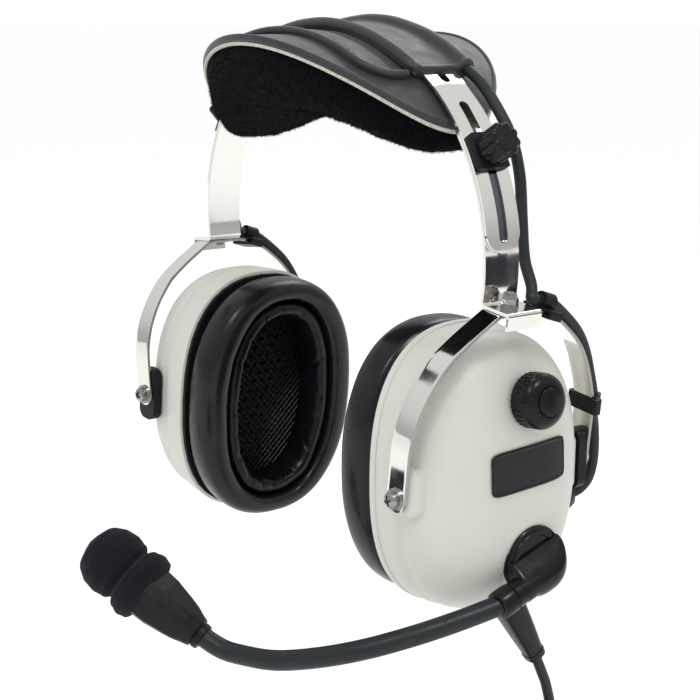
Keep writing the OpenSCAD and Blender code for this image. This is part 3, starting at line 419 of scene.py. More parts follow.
class Finish(Nodes):
    """Builds one material's nodes, step by step."""

    def __init__(self, name, color, rough, metal=0.0, **sockets):
        self.material = bpy.data.materials.new(name)
        self.material.use_nodes = True
        super().__init__(self.material.node_tree)
        self.shader = self.tree.nodes["Principled BSDF"]
        self.color = color
        self.set(self.shader, "Base Color", (*color, 1))
        self.set(self.shader, "Roughness", rough)
        self.set(self.shader, "Metallic", metal)
        for k, v in sockets.items():
            self.set(self.shader, k.replace("_", " "), v)
        self.place = self.node("ShaderNodeTexCoord")
        self.height = None

    def mapped(self, scale):
        m = self.node("ShaderNodeMapping")
        self.set(m, "Scale", scale)
        self.link(self.place.outputs["Object"], m.inputs["Vector"])
        return m.outputs["Vector"]

    def noise(self, scale, detail=4.0, rough=0.55, stretch=(1, 1, 1)):
        n = self.node("ShaderNodeTexNoise")
        self.set(n, "Scale", scale)
        self.set(n, "Detail", detail)
        self.set(n, "Roughness", rough)
        self.link(self.mapped(stretch), n.inputs["Vector"])
        return n.outputs["Fac"]

    def cells(self, scale):
        n = self.node("ShaderNodeTexVoronoi")
        self.set(n, "Scale", scale)
        self.link(self.mapped((1, 1, 1)), n.inputs["Vector"])
        return n.outputs["Distance"]

    def step(self, source, start, end):
        """Goes softly from 0 at start to 1 at end."""
        n = self.node("ShaderNodeMapRange", interpolation_type="SMOOTHSTEP")
        self.set(n, "From Min", start)
        self.set(n, "From Max", end)
        self.link(source, n.inputs["Value"])
        return n.outputs["Result"]

    def ramp(self, source, low, high, from_pos=0.0, to_pos=1.0):
        r = self.node("ShaderNodeValToRGB")
        a, b = r.color_ramp.elements
        a.position, b.position = from_pos, to_pos
        a.color = low if hasattr(low, "__len__") else (low, low, low, 1)
        b.color = high if hasattr(high, "__len__") else (high, high, high, 1)
        self.link(source, r.inputs["Fac"])
        return r.outputs["Color"]

    def varied(self, source, amount, from_pos=0.3, to_pos=0.7):
        """Lets the colour run a little darker and lighter."""
        low, high = ((*(min(1, c * (1 + a)) for c in self.color), 1) for a in (-amount, amount))
        self.link(self.ramp(source, low, high, from_pos, to_pos), self.shader.inputs["Base Color"])

    def roughened(self, source, low, high):
        self.link(self.ramp(source, low, high, 0.3, 0.7), self.shader.inputs["Roughness"])

    def bumped(self, source, strength, distance):
        b = self.node("ShaderNodeBump")
        self.set(b, "Strength", strength)
        self.set(b, "Distance", distance)
        self.link(source, b.inputs["Height"])
        if self.height:
            self.link(self.height, b.inputs["Normal"])
        self.height = b.outputs["Normal"]
        self.link(self.height, self.shader.inputs["Normal"])


CHROME_COLOR = (0.82, 0.81, 0.765)


def chrome_finish():
    f = Finish("chrome_steel", CHROME_COLOR, 0.07, 1.0)
    f.roughened(f.noise(90, 6), 0.04, 0.13)
    f.bumped(f.noise(900, 2, 0.5, (1, 0.06, 1)), 0.04, 0.00002)
    return f.material


def arm_finish():
    """Chrome with a painted dark reflection: a narrow dark band along the middle of the outer face."""
    f = Finish("arm_chrome", CHROME_COLOR, 0.08, 1.0)
    f.roughened(f.noise(90, 6), 0.04, 0.13)
    at, facing = (f.split(f.place.outputs[k]) for k in ("Object", "Normal"))
    wide = f.step(f.maths("ABSOLUTE", at["Y"]), 0.0026, 0.0019)
    high = f.step(at["Z"], -0.049, -0.044)
    # The outer face looks to the side that its own arm is on
    outer = f.maths("GREATER_THAN", f.maths("MULTIPLY", facing["X"], at["X"]), 0.001)
    # Where the dark reflection is painted into the colour: the narrow middle band of the outer face, above
    # its lower end
    painted_reflection_mask = f.maths("MULTIPLY", f.maths("MULTIPLY", wide, high), outer)
    painted_dark_reflection = f.ramp(painted_reflection_mask, (*CHROME_COLOR, 1), (0.13, 0.14, 0.16, 1))
    f.link(painted_dark_reflection, f.shader.inputs["Base Color"])
    return f.material


def screw_finish():
    f = Finish("zinc_screws", (0.34, 0.335, 0.32), 0.25, 1.0)
    f.roughened(f.noise(500, 3), 0.16, 0.36)
    f.bumped(f.noise(2500, 2), 0.1, 0.00002)
    return f.material


def cup_finish():
    f = Finish("cup_cream", (0.594, 0.59, 0.539), 0.4, Specular_IOR_Level=0.4)
    f.varied(f.noise(40, 5), 0.02)
    f.roughened(f.noise(260, 4), 0.34, 0.46)
    f.bumped(f.noise(1500, 2), 0.10, 0.00004)
    return f.material


def black_finish(name="black_plastic", color=(0.009, 0.0098, 0.0108), rough=0.4, grain=2400, shine=0.16):
    f = Finish(name, color, rough, Specular_IOR_Level=shine)
    f.varied(f.noise(120, 4), 0.2)
    f.roughened(f.noise(300, 4), rough - 0.06, rough + 0.08)
    f.bumped(f.noise(grain, 2), 0.12, 0.00004)
    return f.material


def leather_finish():
    shine = {"Specular_IOR_Level": 0.5, "Sheen_Weight": 0.3, "Sheen_Roughness": 0.35}
    f = Finish("pad_leather", (0.018, 0.021, 0.023), 0.5, **shine)
    f.varied(f.noise(60, 5), 0.22)
    f.roughened(f.noise(180, 4), 0.46, 0.6)
    f.bumped(f.cells(1100), 0.3, 0.0001)
    f.bumped(f.noise(60, 3), 0.2, 0.0005)
    return f.material


def fleece_finish():
    f = Finish("pad_fleece", (0.0030, 0.0033, 0.0040), 1.0, Specular_IOR_Level=0.02, Sheen_Weight=0.03)
    f.varied(f.noise(900, 5), 0.6)
    f.bumped(f.noise(2600, 4, 0.7), 0.8, 0.0003)
    f.bumped(f.noise(420, 4, 0.6), 0.5, 0.0006)
    return f.material


def foam_finish():
    color = (0.0075, 0.0075, 0.0105)
    f = Finish("windscreen_foam", color, 0.95, Specular_IOR_Level=0.06, Sheen_Weight=0.06)
    f.varied(f.cells(1900), 0.55, 0.0, 0.6)
    f.bumped(f.cells(1900), 0.5, 0.0002)
    f.bumped(f.noise(420, 4), 0.25, 0.0004)
    return f.material


def vinyl_finish(name="seal_vinyl", color=(0.0062, 0.0072, 0.0085), rough=0.25, shine=0.3):
    f = Finish(name, color, rough, Specular_IOR_Level=shine)
    f.varied(f.noise(70, 4), 0.2)
    f.roughened(f.noise(150, 4), rough - 0.05, rough + 0.09)
    f.bumped(f.cells(1600), 0.12, 0.00004)
    f.bumped(f.noise(90, 3), 0.1, 0.0003)
    return f.material


def cable_finish(name="cable_rubber", color=(0.015, 0.019, 0.0215), rough=0.45):
    f = Finish(name, color, rough, Specular_IOR_Level=0.28)
    f.varied(f.noise(150, 4), 0.18)
    f.roughened(f.noise(400, 3), rough - 0.08, rough + 0.1)
    f.bumped(f.noise(1800, 2), 0.14, 0.00005)
    return f.material


def label_finish():
    f = Finish("label_grey", (0.010, 0.0105, 0.011), 0.34, Specular_IOR_Level=0.22)
    f.roughened(f.noise(500, 3, 0.5, (1, 0.05, 1)), 0.3, 0.42)
    f.bumped(f.noise(3000, 2, 0.5, (1, 0.03, 1)), 0.08, 0.00003)
    return f.material


def board_finish():
    f = Finish("board_green", (0.02, 0.10, 0.05), 0.4)
    f.varied(f.cells(300), 0.3)
    return f.material


def felt_finish():
    f = Finish("felt_edge", (0.50, 0.50, 0.43), 0.95, Specular_IOR_Level=0.1)
    f.varied(f.noise(900, 4), 0.25)
    f.bumped(f.noise(2200, 3), 0.7, 0.0003)
    return f.material


CHROME, SCREW, CREAM = chrome_finish(), screw_finish(), cup_finish()
BLACK, GLOSS = black_finish(), black_finish("gloss_black", (0.0062, 0.0066, 0.0075), 0.25, 700, 0.2)
ARM_CHROME = arm_finish()
LEATHER, FLEECE, FOAM = leather_finish(), fleece_finish(), foam_finish()
LINER = vinyl_finish("liner_vinyl", (0.0042, 0.0047, 0.0062), 0.26, 0.22)
VINYL, CABLE, LABEL, BOARD = vinyl_finish(), cable_finish(), label_finish(), board_finish()
BOOM = cable_finish("boom_sleeve", (0.014, 0.018, 0.020), 0.40)
THREAD = black_finish("black_thread", (0.004, 0.004, 0.004), 0.8, 3000, 0.1)
FELT = felt_finish()

# A node takes the finish whose row holds the start of its name; the others are plain black
CAD_FINISHES = (
    (ARM_CHROME, "slider_arm"), (CHROME, "headband_spring", "stirrup"), (FLEECE, "head_pad_fleece"),
    (SCREW, "foot_bolt", "pivot_screws", "mic_capsule", "cord_plug"),
    (LEATHER, "band_sleeve", "sleeve_flap", "head_pad_cover"), (GLOSS, "clamp_knob"),
    (CREAM, "cup_shell"), (VINYL, "ear_seal"), (LINER, "seal_liner"), (BOARD, "noise_board"),
    (FOAM, "mic_windscreen"), (LABEL, "label_plate"), (BOOM, "boom_tube"),
    (CABLE, "strain_relief", "cord_lead", "cord_coil", "cord_tail", "cable_grommet", "crossover"),
)


def cad_finish(name):
    for finish, *starts in CAD_FINISHES:
        if name.startswith(tuple(starts)):
            return finish
    return BLACK


for name, obj in nodes.items():
    for slot in obj.material_slots:
        slot.material = cad_finish(name)
    smooth(obj, 30)
nothing_selected()

finished(main_cord, "cup_left", CABLE, "cable_rubber", "cord_lead", "cord_coil", "cord_tail")

# ---- shaping of primitives


def reshaped(name, place):
    """Moves each point of the new primitive to place(point)."""
    obj = named(name)
    for v in obj.data.vertices:
        v.co = place(v.co.copy())
    obj.data.update()
    return obj


def shaped_torus(name, around, section, place):
    """A torus whose points go where place(angle round the ring, angle round its section) says."""
    nothing_selected()
    bpy.ops.mesh.primitive_torus_add(
        major_segments=around, minor_segments=section, major_radius=2, minor_radius=1
    )

    def on_ring(p):
        return place(math.atan2(p.y, p.x), math.atan2(p.z, math.hypot(p.x, p.y) - 2))

    return reshaped(name, on_ring)


def shaped_grid(name, across, along, place):
    """A grid whose points go where place(u, v) says, both from -1 to 1."""
    nothing_selected()
    bpy.ops.mesh.primitive_grid_add(x_subdivisions=across, y_subdivisions=along, size=2)
    return reshaped(name, lambda p: place(p.x, p.y))


def shaped_ball(name, segments, rings, place, axis="X"):
    """A sphere whose points go where place(unit vector) says."""
    nothing_selected()
    bpy.ops.mesh.primitive_uv_sphere_add(segments=segments, ring_count=rings, radius=1)
    if axis == "X":
        bpy.context.object.data.transform(Matrix.Rotation(math.pi / 2, 4, "Y"))
    return reshaped(name, place)


def shaped_bar(name, around, along, place):
    """A cylinder along X whose points go where place(0 to 1 along, angle round) says."""
    nothing_selected()
    bpy.ops.mesh.primitive_cylinder_add(vertices=around, radius=1, depth=2, end_fill_type="NGON")
    obj = named(name)
    mesh = edit(obj)
    sides = [e for e in mesh.edges if abs(e.verts[0].co.z - e.verts[1].co.z) > 1]
    bmesh.ops.subdivide_edges(mesh, edges=sides, cuts=along - 1, use_grid_fill=True)
    for v in mesh.verts:
        v.co = place((v.co.z + 1) / 2, math.atan2(v.co.y, v.co.x))
    edited(obj)
    return obj


def closed_spline(points, share):
    """A point on a smooth closed curve through points, share from 0 to 1."""
    n = len(points)
    f = (share % 1.0) * n
    i = int(f) % n
    t = f - int(f)
    return on_curve(*(Vector(points[(i + k) % n]) for k in (-1, 0, 1, 2)), t)


def row_at(table, x):
    """The values of a table's rows (x, ...) at x, in a straight line between two rows."""
    for a, b in zip(table, table[1:]):
        if x <= b[0] + 1e-6:
            k = (x - a[0]) / (b[0] - a[0])
            return [p + (q - p) * k for p, q in zip(a[1:], b[1:])]
    return table[-1][1:]


def oval(a, b, t, n):
    return a * power(math.cos(t), 2 / n), b * power(math.sin(t), 2 / n)


def crumple(p, scale, seed=0.0):
    """A soft random height at p, the same each run."""
    return noise.noise(Vector((p[0] * scale + seed, p[1] * scale, p[2] * scale)))


# ---- ear cups


# The rim's edge after the dome: how far out from the rim's plane, and how much wider than the dome
RIM_STEPS = ((-0.1, 0.45), (-0.7, 0.5), (-2.9, 0.5), (-3, 0.3), (-3, -2.2), (6, -2.4))


def cup_shell(side):
    """The moulded dome, its rim with a step, the pivot boss and the seats on it."""
    s = 1 if side == "left" else -1

    def on_dome(p):
        f = math.asin(max(-1, min(1, p.x)))
        t = math.atan2(p.z, p.y)
        share = max(0.0, math.cos(f)) ** (2 / CUP_K)
        x = CUP_DEPTH * power(math.sin(f), 2 / CUP_K)
        # A soft valley parts the rim's skirt from the dome
        valley = bell(x - 11.5, 2.2)
        y, z = oval(CUP_A * share - valley, CUP_B * share - valley, t, CUP_N)
        return Vector((-RIM_IN + x, y, z + CUP_RISE))

    dome = shaped_ball("shell_dome_" + side, 96, 96, on_dome)
    mesh = edit(dome)
    inner = [v for v in mesh.verts if v.co.x < -RIM_IN - 0.01]
    bmesh.ops.delete(mesh, geom=inner, context="VERTS")
    edge = [e for e in mesh.edges if e.is_boundary]
    for x, grow in RIM_STEPS:
        ring = bmesh.ops.extrude_edge_only(mesh, edges=edge)["geom"]
        edge = [g for g in ring if isinstance(g, bmesh.types.BMEdge)]
        for v in (g for g in ring if isinstance(g, bmesh.types.BMVert)):
            t = math.atan2(v.co.z - CUP_RISE, v.co.y)
            # The angle of a point on the oval, from its direction
            q = math.atan2(power(math.sin(t) / CUP_B, CUP_N / 2), power(math.cos(t) / CUP_A, CUP_N / 2))
            y, z = oval(CUP_A + grow, CUP_B + grow, q, CUP_N)
            v.co = Vector((x - RIM_IN, y, z + CUP_RISE))
    edited(dome)
    outward(dome)
    smooth(dome, 40)
    boss = block("boss", (11, 11.1, 19), (0, -s * 37.45, 1.5), 4.2, 6)
    seat = block("seat", (11, 7.6, 22), (0, s * 35.8, 0), 3.2, 5)
    parts = [smooth(boss, 40), smooth(seat, 40)]
    if side == "left":
        swivel = revolved("swivel_seat", [(0, 0), (0, 13.4), (4.6, 13.4), (5, 13), (5, 0)])
        swivel.data.transform(moved(SWIVEL.x - 5, SWIVEL.y, SWIVEL.z))
        parts.append(smooth(swivel, 40))
    shell = joined(dome, *parts)
    placed(shell, CUP[side])
    finished(shell, "cup_" + side, CREAM, "cup_cream", "cup_shell_" + side)


# (share of the depth, out from the opening) round the cushion's section
SEAL_SECTION = [
    (0, 0.8), (0.4, 0.2), (0.8, 0), (0.94, 1), (1, 3.2), (1, 5.8),
    (0.94, 9), (0.78, 11.4), (0.5, 11.9), (0.22, 10.9), (0.12, 8.8), (0, 7.6),
]


def ear_seal(side):
    """The soft oval cushion: full and glossy, with shallow creases across its inner edge."""

    def on_seal(t, q):
        depth, out = closed_spline(SEAL_SECTION, 0.5 + q / (2 * math.pi))
        y, z = oval(OPEN_A + out, OPEN_B + out * 0.72, t, SEAL_N)
        p = Vector((SEAL_X - depth * SEAL_T, y, z + CUP_RISE))
        crease = crumple((t * 5, depth * 1.6, out * 0.08), 1.0, 7 if side == "left" else 31)
        fold = max(0.0, 1 - abs(out - 1.5) / 5) * crease
        soft = crumple(p, 0.05, 3) * 0.5
        centre = Vector((SEAL_X - 0.5 * SEAL_T, *oval(OPEN_A + 6, OPEN_B + 4.4, t, SEAL_N)))
        centre.z += CUP_RISE
        return p + (p - centre).normalized() * (0.28 * fold + soft * 0.5)

    seal = shaped_torus("seal_cushion_" + side, 160, 44, on_seal)
    built(seal, CUP[side], None, "cup_" + side, VINYL, "seal_vinyl", "ear_seal_" + side)


def seal_liner(side):
    """The foam funnel inside the seal, thin at its lip."""
    # (share of the seal's depth, in from the opening)
    section = [(0.3, 0.9), (0.1, 2.2), (0.06, 3.6), (0.1, 6.4), (0.24, 8.6), (0.6, 8.2), (0.82, 6.8),
               (0.9, 5.2), (0.87, 2.8), (0.8, 1.8), (0.5, 0.7)]

    def on_liner(t, q):
        depth, into = closed_spline(section, 0.5 + q / (2 * math.pi))
        y, z = oval(OPEN_A - into, OPEN_B - into, t, SEAL_N)
        fold = crumple((t * 2.6, depth * 0.9, 0), 1.0, 12 if side == "left" else 47)
        pinch = max(0.0, 1 - abs(fold) * 14) * min(1.0, into / 4)
        grow = 1 + (0.7 * pinch - 0.5 * fold) / 34
        deep = SEAL_X - depth * SEAL_T + 0.5 * pinch + 0.4 * fold
        return Vector((deep, y * grow, z * grow + CUP_RISE))

    liner = shaped_torus("opening_liner_" + side, 240, 40, on_liner)
    built(liner, CUP[side], 50, "cup_" + side, LINER, "liner_foam", "seal_liner_" + side)


for side in SIDES:
    cup_shell(side)
    ear_seal(side)
    seal_liner(side)

# ---- head pad


def fleece_pad():
    """The fleece: flat under the leather, rounded at its edge, hollowed for the head."""

    def on_fleece(p):
        plan = min(1.0, math.hypot(p.x, p.y))
        ang = math.atan2(p.y, p.x)
        # Points crowd less at the rim
        plan = math.sin(math.asin(plan) * 0.5) / math.sin(math.pi / 4) if p.z < 0 else plan
        x, y = (PAD_A - 1) * plan * math.cos(ang), (PAD_B - 1) * plan * math.sin(ang)
        top = band_z(x) + (PAD_RHO - LEATHER_T - 0.3) / max(0.55, band_slope(x))
        if p.z >= 0:
            return Vector((x, y - PAD_SHIFT, top - 0.3 * plan * plan))
        q = min(1, abs(x) / (PAD_A - 1))
        half = (PAD_B - 1) * math.sqrt(max(1e-6, 1 - q * q))
        t = min(1, abs(y) / half)
        under_r = UNDER_R if x < 0 else UNDER_LEFT_R
        under = math.sqrt(under_r**2 - x * x) - under_r
        low = top - (top - under) * (1 - t**3.5) ** 0.5 * (1 - q**12) ** 0.5
        return Vector((x, y - PAD_SHIFT, min(top - 0.8, low)))

    pad = shaped_ball("fleece_pad", 160, 120, on_fleece, axis="Z")
    for v in pad.data.vertices:
        v.co += Vector((crumple(v.co, 0.3), crumple(v.co, 0.3, 9), crumple(v.co, 0.3, 17))) * 0.5
    built(pad, METRES, None, "headband", FLEECE, "pad_fleece", "head_pad_fleece")
    return pad


FIBRES, FIBRE_FOOT, FIBRE_R = 26000, 0.3 * MM, 0.12 * MM


def fleece_fuzz(pad):
    """Short fibres that stand out of the fleece all over, so that its edge is soft."""
    nothing_selected()
    bpy.ops.mesh.primitive_cone_add(vertices=3, radius1=0.1, depth=1)
    fuzz = named("fleece_fuzz")
    pick = random.Random(5)

    def corners(face):
        return sorted(tuple(pad.data.vertices[i].co) for i in face.vertices)

    # Blender numbers a sphere's faces in another order each run, so they are sorted before the draws
    faces = [f for f in pad.data.polygons if f.normal.z < 0.75 and f.area > 0]
    faces.sort(key=corners)
    mesh = bmesh.new()
    for face in pick.choices(faces, weights=[f.area for f in faces], k=FIBRES):
        first, second, third = (Vector(p) for p in corners(face)[:3])
        a, b = pick.random(), pick.random()
        at = first + (second - first) * a + (third - second) * a * b
        lean = Vector((pick.gauss(0, 1), pick.gauss(0, 1), pick.gauss(0, 1))) * 0.45
        way = (face.normal + lean).normalized()
        aside = way.orthogonal().normalized()
        other = way.cross(aside)
        foot = at - way * FIBRE_FOOT
        root = [foot + (aside * cosine(t) + other * sine(t)) * FIBRE_R for t in (0, 120, 240)]
        ring = [mesh.verts.new(p) for p in root]
        tip = mesh.verts.new(at + way * pick.uniform(0.5, 1.3) * MM)
        for i in range(3):
            mesh.faces.new((ring[i], ring[(i + 1) % 3], tip))
        mesh.faces.new(reversed(ring))
    mesh.to_mesh(fuzz.data)
    mesh.free()
    placed(fuzz, Matrix.Identity(4))
    finished(fuzz, "headband", FLEECE, "pad_fleece")


def pad_cover():
    """The leather over the fleece, with a rounded edge."""

    def on_cover(p):
        plan = min(1.0, math.hypot(p.x, p.y))
        ang = math.atan2(p.y, p.x)
        x, y = PAD_A * plan * math.cos(ang), PAD_B * plan * math.sin(ang)
        top = band_z(x) + PAD_RHO / max(0.55, band_slope(x))
        if p.z >= 0:
            z = top - 0.6 * plan**8
        else:
            z = top - LEATHER_T / max(0.55, band_slope(x)) + 0.6 * plan**8
        return Vector((x, y - PAD_SHIFT, z))

    cover = shaped_ball("leather_pad_top", 160, 64, on_cover, axis="Z")
    built(cover, METRES, None, "headband", LEATHER, "pad_leather", "head_pad_cover")


def edge_ring(name, rho, reach, wide, high, material, slot):
    """A round strip that follows the pad's edge."""

    def on_edge(t, q):
        x, y = (PAD_A + reach) * math.cos(t), (PAD_B + reach) * math.sin(t)
        level = band_z(x) + rho / max(0.55, band_slope(x))
        out = Vector((math.cos(t) / PAD_A, math.sin(t) / PAD_B, 0)).normalized()
        p = Vector((x, y - PAD_SHIFT, level))
        return p + out * wide * math.cos(q) + Vector((0, 0, high * math.sin(q)))

    ring = shaped_torus(name, 256, 14, on_edge)
    built(ring, METRES, None, "headband", material, slot)


fleece_fuzz(fleece_pad())
pad_cover()
edge_ring("pad_felt_line", -6.0, -0.5, 0.8, 0.85, FELT, "pad_fleece")
edge_ring("pad_binding", -4.1, -0.35, 0.95, 1.7, LEATHER, "pad_leather")

# ---- leather round the band


def leather_sleeve():
    """One skin round the band: a roll along its front, a tunnel for the cable along its rear."""
    # Places of the skin's section as (y, rho), from the front of the roll over the top
    section = [
        (-14, 1.0), (-13.1, 2.7), (-11.4, 3.5), (-9.6, 2.7), (-8.2, 1.75), (-4, 1.55), (2, 1.5),
        (7.4, 1.7), (9.2, 2.4), (10.6, 3.9), (13, 4.6), (15.6, 3.4), (16.7, 0.9), (15.6, -1.6),
        (13, -2.7), (9, -2.6), (0, -2.6), (-8, -2.6), (-11.5, -1.7), (-13.2, -0.7),
    ]

    def on_sleeve(share, t):
        a = (2 * share - 1) * SLEEVE_A
        y, rho = closed_spline([(*q, 0) for q in section], t / (2 * math.pi))[:2]
        from_end = (1 - abs(2 * share - 1)) * math.radians(SLEEVE_A) * CROWN_R
        # A hem: a low ridge, then a rounded edge
        out = rho - 0.3
        hem = 0.35 * bell(from_end - 1.6, 1.0) - 0.5 * max(0.0, 1 - from_end / 0.8) ** 2
        stitched = -0.12 * bell(from_end - 3.4, 0.5)
        soft = 0.25 * crumple((a * 0.6, y * 0.7, 2), 0.25, 4) if rho > 0 else 0
        rho += (hem + stitched) * (1 if out > 0 else -0.3) + soft
        if y < -9:
            thin = 0.45 * max(0.0, 1 - from_end / 9) ** 1.5
            y += (-9 - y) * thin
            rho += (0.9 - rho) * thin
        s = 1 if a > 0 else -1
        return band_point(s, abs(a), rho, y)

    sleeve = shaped_bar("leather_sleeve", 120, 200, on_sleeve)
    outward(sleeve)
    smooth(sleeve, 60)
    finished(sleeve, "headband", LEATHER, "pad_leather", "band_sleeve")


FLAP_X, FLAP_Y, FLAP_CORNER, FLAP_RHO = CROWN_R * sine(29.5), 30.0, 12.0, -1.15


def over_pad(x, y, rho):
    """A point over the pad's leather: x across the head, y to the rear."""
    return Vector((x, y, band_z(x) + rho / band_slope(x))) * MM


def front_flap():
    """The stitched flap in front of the sleeve, with a roll round its free edge."""

    def on_flap(u, v):
        y = -13.2 - (FLAP_Y - 13.2) * (1 - v) / 2
        inset = FLAP_CORNER - math.sqrt(max(0, FLAP_CORNER**2 - max(0, FLAP_CORNER - FLAP_Y - y) ** 2))
        x = u * (FLAP_X - inset)
        grooves = sum(bell(y + g, 0.4) for g in (16.4, 17.9))
        puffed = 0.35 * (1 - v * v) * (1 - u**8)
        return over_pad(x, y, -1.35 + puffed - 0.4 * grooves + 0.15 * crumple((x * 0.5, y, 0), 0.2, 6))

    panel = shaped_grid("flap_panel", 160, 90, on_flap)
    modified(panel, "SOLIDIFY", thickness=1.3 * MM, offset=-1)
    outward(panel)
    smooth(panel, 60)
    edge = [(FLAP_X, y) for y in (-13.4, -15.5)]
    for a in range(0, 91, 9):
        edge.append((FLAP_X - FLAP_CORNER * (1 - cosine(a)), -FLAP_Y + FLAP_CORNER * (1 - sine(a))))
    front = [(x, -FLAP_Y) for x in range(40, -41, -4)]
    outline = edge + front + [(-x, y) for x, y in reversed(edge)]
    roll = tube("flap_roll", [over_pad(x, y, FLAP_RHO) for x, y in outline], 1.5 * MM, 6)
    placed(roll, Matrix.Identity(4))
    finished(joined(panel, roll), "headband", LEATHER, "pad_leather", "sleeve_flap")
    stitches = []
    for k in range(-13, 14):
        x = k * 3.1
        ends = [over_pad(x + d, 2.3 - FLAP_Y, -0.72) for d in (-0.95, -0.5, 0.5, 0.95)]
        ends[0].z -= 0.25 * MM
        ends[-1].z -= 0.25 * MM
        stitches.append(tube("stitch_%d" % (k + 13), ends, 0.34 * MM, 2))
    row = joined(*stitches)
    row.name = "flap_stitches"
    finished(row, "headband", THREAD, "pad_leather")


leather_sleeve()
front_flap()

# ---- stirrups

# Half of the strap each, as (out from the foot bolt, up)
STRAP_W = 9.5
STRAP_FRONT = [(7.5, 0), (9.4, -0.7), (14, -3.5), (22, -8.5), (30, -14.6), (36, -21.8), (40.3, -29),
               (43.3, -36.5), (44.9, -44), (45.2, -50), (45.2, -58)]
STRAP_REAR = [(7.5, 0), (12, -0.7), (16.7, -2.2), (24.3, -6.8), (33, -14.6), (38.3, -22.4), (42.2, -31.5),
              (44.7, -40), (45.2, -47), (45.2, -56)]


def stirrup_strap(side):
    """A spring steel strap: flat under the foot, bent down to both pivots, round at its ends."""
    end = -DROP - STRAP_W / 2
    line = [(-SPAN, end)] + [(-y, z) for y, z in reversed(STRAP_FRONT)]
    line += [(0, 0)] + STRAP_REAR + [(SPAN, end)]
    path = spline_points([(0, y, z - 0.1) for y, z in line], 10)
    run = [0.0]
    for a, b in zip(path, path[1:]):
        run.append(run[-1] + (b - a).length)
    radius, share = STRAP_W / 2, 0.05

    def at_run(d):
        i = min(len(run) - 2, max(0, bisect.bisect_right(run, d) - 1))
        return path[i].lerp(path[i + 1], (d - run[i]) / (run[i + 1] - run[i]))

    def on_strap(u, v):
        k = (1 + v) / 2
        from_end = min(k, 1 - k)
        if from_end < share:
            d = radius * (1 - math.cos(math.pi / 2 * from_end / share))
            half = max(0.02, math.sqrt(radius**2 - (radius - d) ** 2))
        else:
            d = radius + (run[-1] / 2 - radius) * (from_end - share) / (0.5 - share)
            half = radius
        p = at_run(d if k < 0.5 else run[-1] - d)
        return Vector((u * half, p.y, p.z))

    strap = shaped_grid("strap_" + side, 8, 400, on_strap)
    modified(strap, "SOLIDIFY", thickness=STRIP_T, offset=-1)
    outward(strap)
    modified(strap, "BEVEL", width=0.22, segments=2, limit_method="ANGLE", angle_limit=math.radians(50))
    smooth(strap, 40)
    edges = [p.index for p in strap.data.polygons if abs(p.normal.x) > 0.8]
    placed(strap, STIRRUP[side])
    finished(strap, "stirrup_" + side, CHROME, "chrome_steel", "stirrup_" + side)
    strap.data.materials.append(SCREW)
    for i in edges:
        strap.data.polygons[i].material_index = 1


for side in SIDES:
    stirrup_strap(side)

# ---- cables between the cups

CLIP_REACH = 1.1 + CROSS_D / 2 + 0.1
CLIP_TOP = SHOULDER_R + CLIP_REACH
CLIP_Y = SPAN + CLIP_REACH


def on_shoulder(a):
    return Vector((0, SPAN - SHOULDER_R + CLIP_TOP * sine(a), -0.1 - SHOULDER_R + CLIP_TOP * cosine(a)))


# The cable's way from the sleeve to each stirrup, over its shoulder, and down into the cup
LOOP_FROM = 13.0
RISES = {
    "left": [(64, 13, 13.5), (73, 13, 5), (81, 13, -5), (86, 13, -18), (88, 13, -34), (90, 13, -48),
             (94, 13, -57)],
    "right": [(-68, 13.5, 14), (-86, 14, 10), (-104, 15, 0), (-117, 16, -15), (-121, 16, -32),
              (-115, 15, -48), (-104, 14, -58)],
}
LOOP_HIGH = [(26.3, -4), (35.5, -12.2), (41.2, -20.7), (45.3, -30.4)]
LOOP_LOW = [(-1, 52, -52), (-1.5, 54.5, -62), (-2, 55.3, -71), (-3, 54, -78), (-5, 49.5, -82.3),
            (-7, 42, -81.5)]


def crossover_cable():
    """From cup to cup: through the headband's tunnel, down the rear of each side."""
    steps = [SLEEVE_A * k / 16 for k in range(-16, 17)]
    across = [band_point(1 if a > 0 else -1, abs(a), TUNNEL_RHO, TUNNEL_Y) for a in steps]
    top = tube("crossover_over_band", across, CROSS_D / 2 * MM, 5)
    finished(top, "headband", CABLE, "cable_rubber", "crossover_cable_top")
    for side, points in RISES.items():
        s = 1 if side == "left" else -1
        ends = [STIRRUP["left"] @ on_shoulder(LOOP_FROM - a) for a in (4.5, 1.5)]
        for end in ends:
            end.x *= s
        low = [Vector(p) * MM for p in points]
        path = [band_point(s, SLEEVE_A + a, TUNNEL_RHO, TUNNEL_Y) for a in (-1, 0.3)]
        path += low + ends
        rise = tube("crossover_rise_" + side, spline_points(path, 6), CROSS_D / 2 * MM, 5)
        finished(rise, None, CABLE, "cable_rubber")
        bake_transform(rise)
        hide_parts("crossover_cable_rise_" + side)
        shoulder = [on_shoulder(a) for a in (LOOP_FROM, LOOP_FROM + 3, 21)]
        shoulder += [Vector((0, *p)) for p in LOOP_HIGH + [(CLIP_Y, -39.5), (CLIP_Y, -44.5)]]
        frame_points = shoulder + [Vector(p) for p in LOOP_LOW]
        path = [STIRRUP[side] @ p for p in spline_points(frame_points, 6)]
        loop = tube("crossover_loop_" + side, path, CROSS_D / 2 * MM, 5)
        finished(loop, None, CABLE, "cable_rubber")
        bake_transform(loop)
        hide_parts("crossover_cable_loop_" + side)


crossover_cable()

# ---- microphone boom

HOUSE_X, DIP, OFFSET, HOUSE_R, SEAM, COLLAR_END = 7.6, 18.0, 4.5, 5.0, 17.6, 24.5


def at_boom(along):
    """A point on the straight axis of the boom's sleeve."""
    y = -along * cosine(DIP) + OFFSET * sine(DIP)
    z = -along * sine(DIP) - OFFSET * cosine(DIP)
    return CUP["left"] @ (SWIVEL + Vector((HOUSE_X, y, z)))


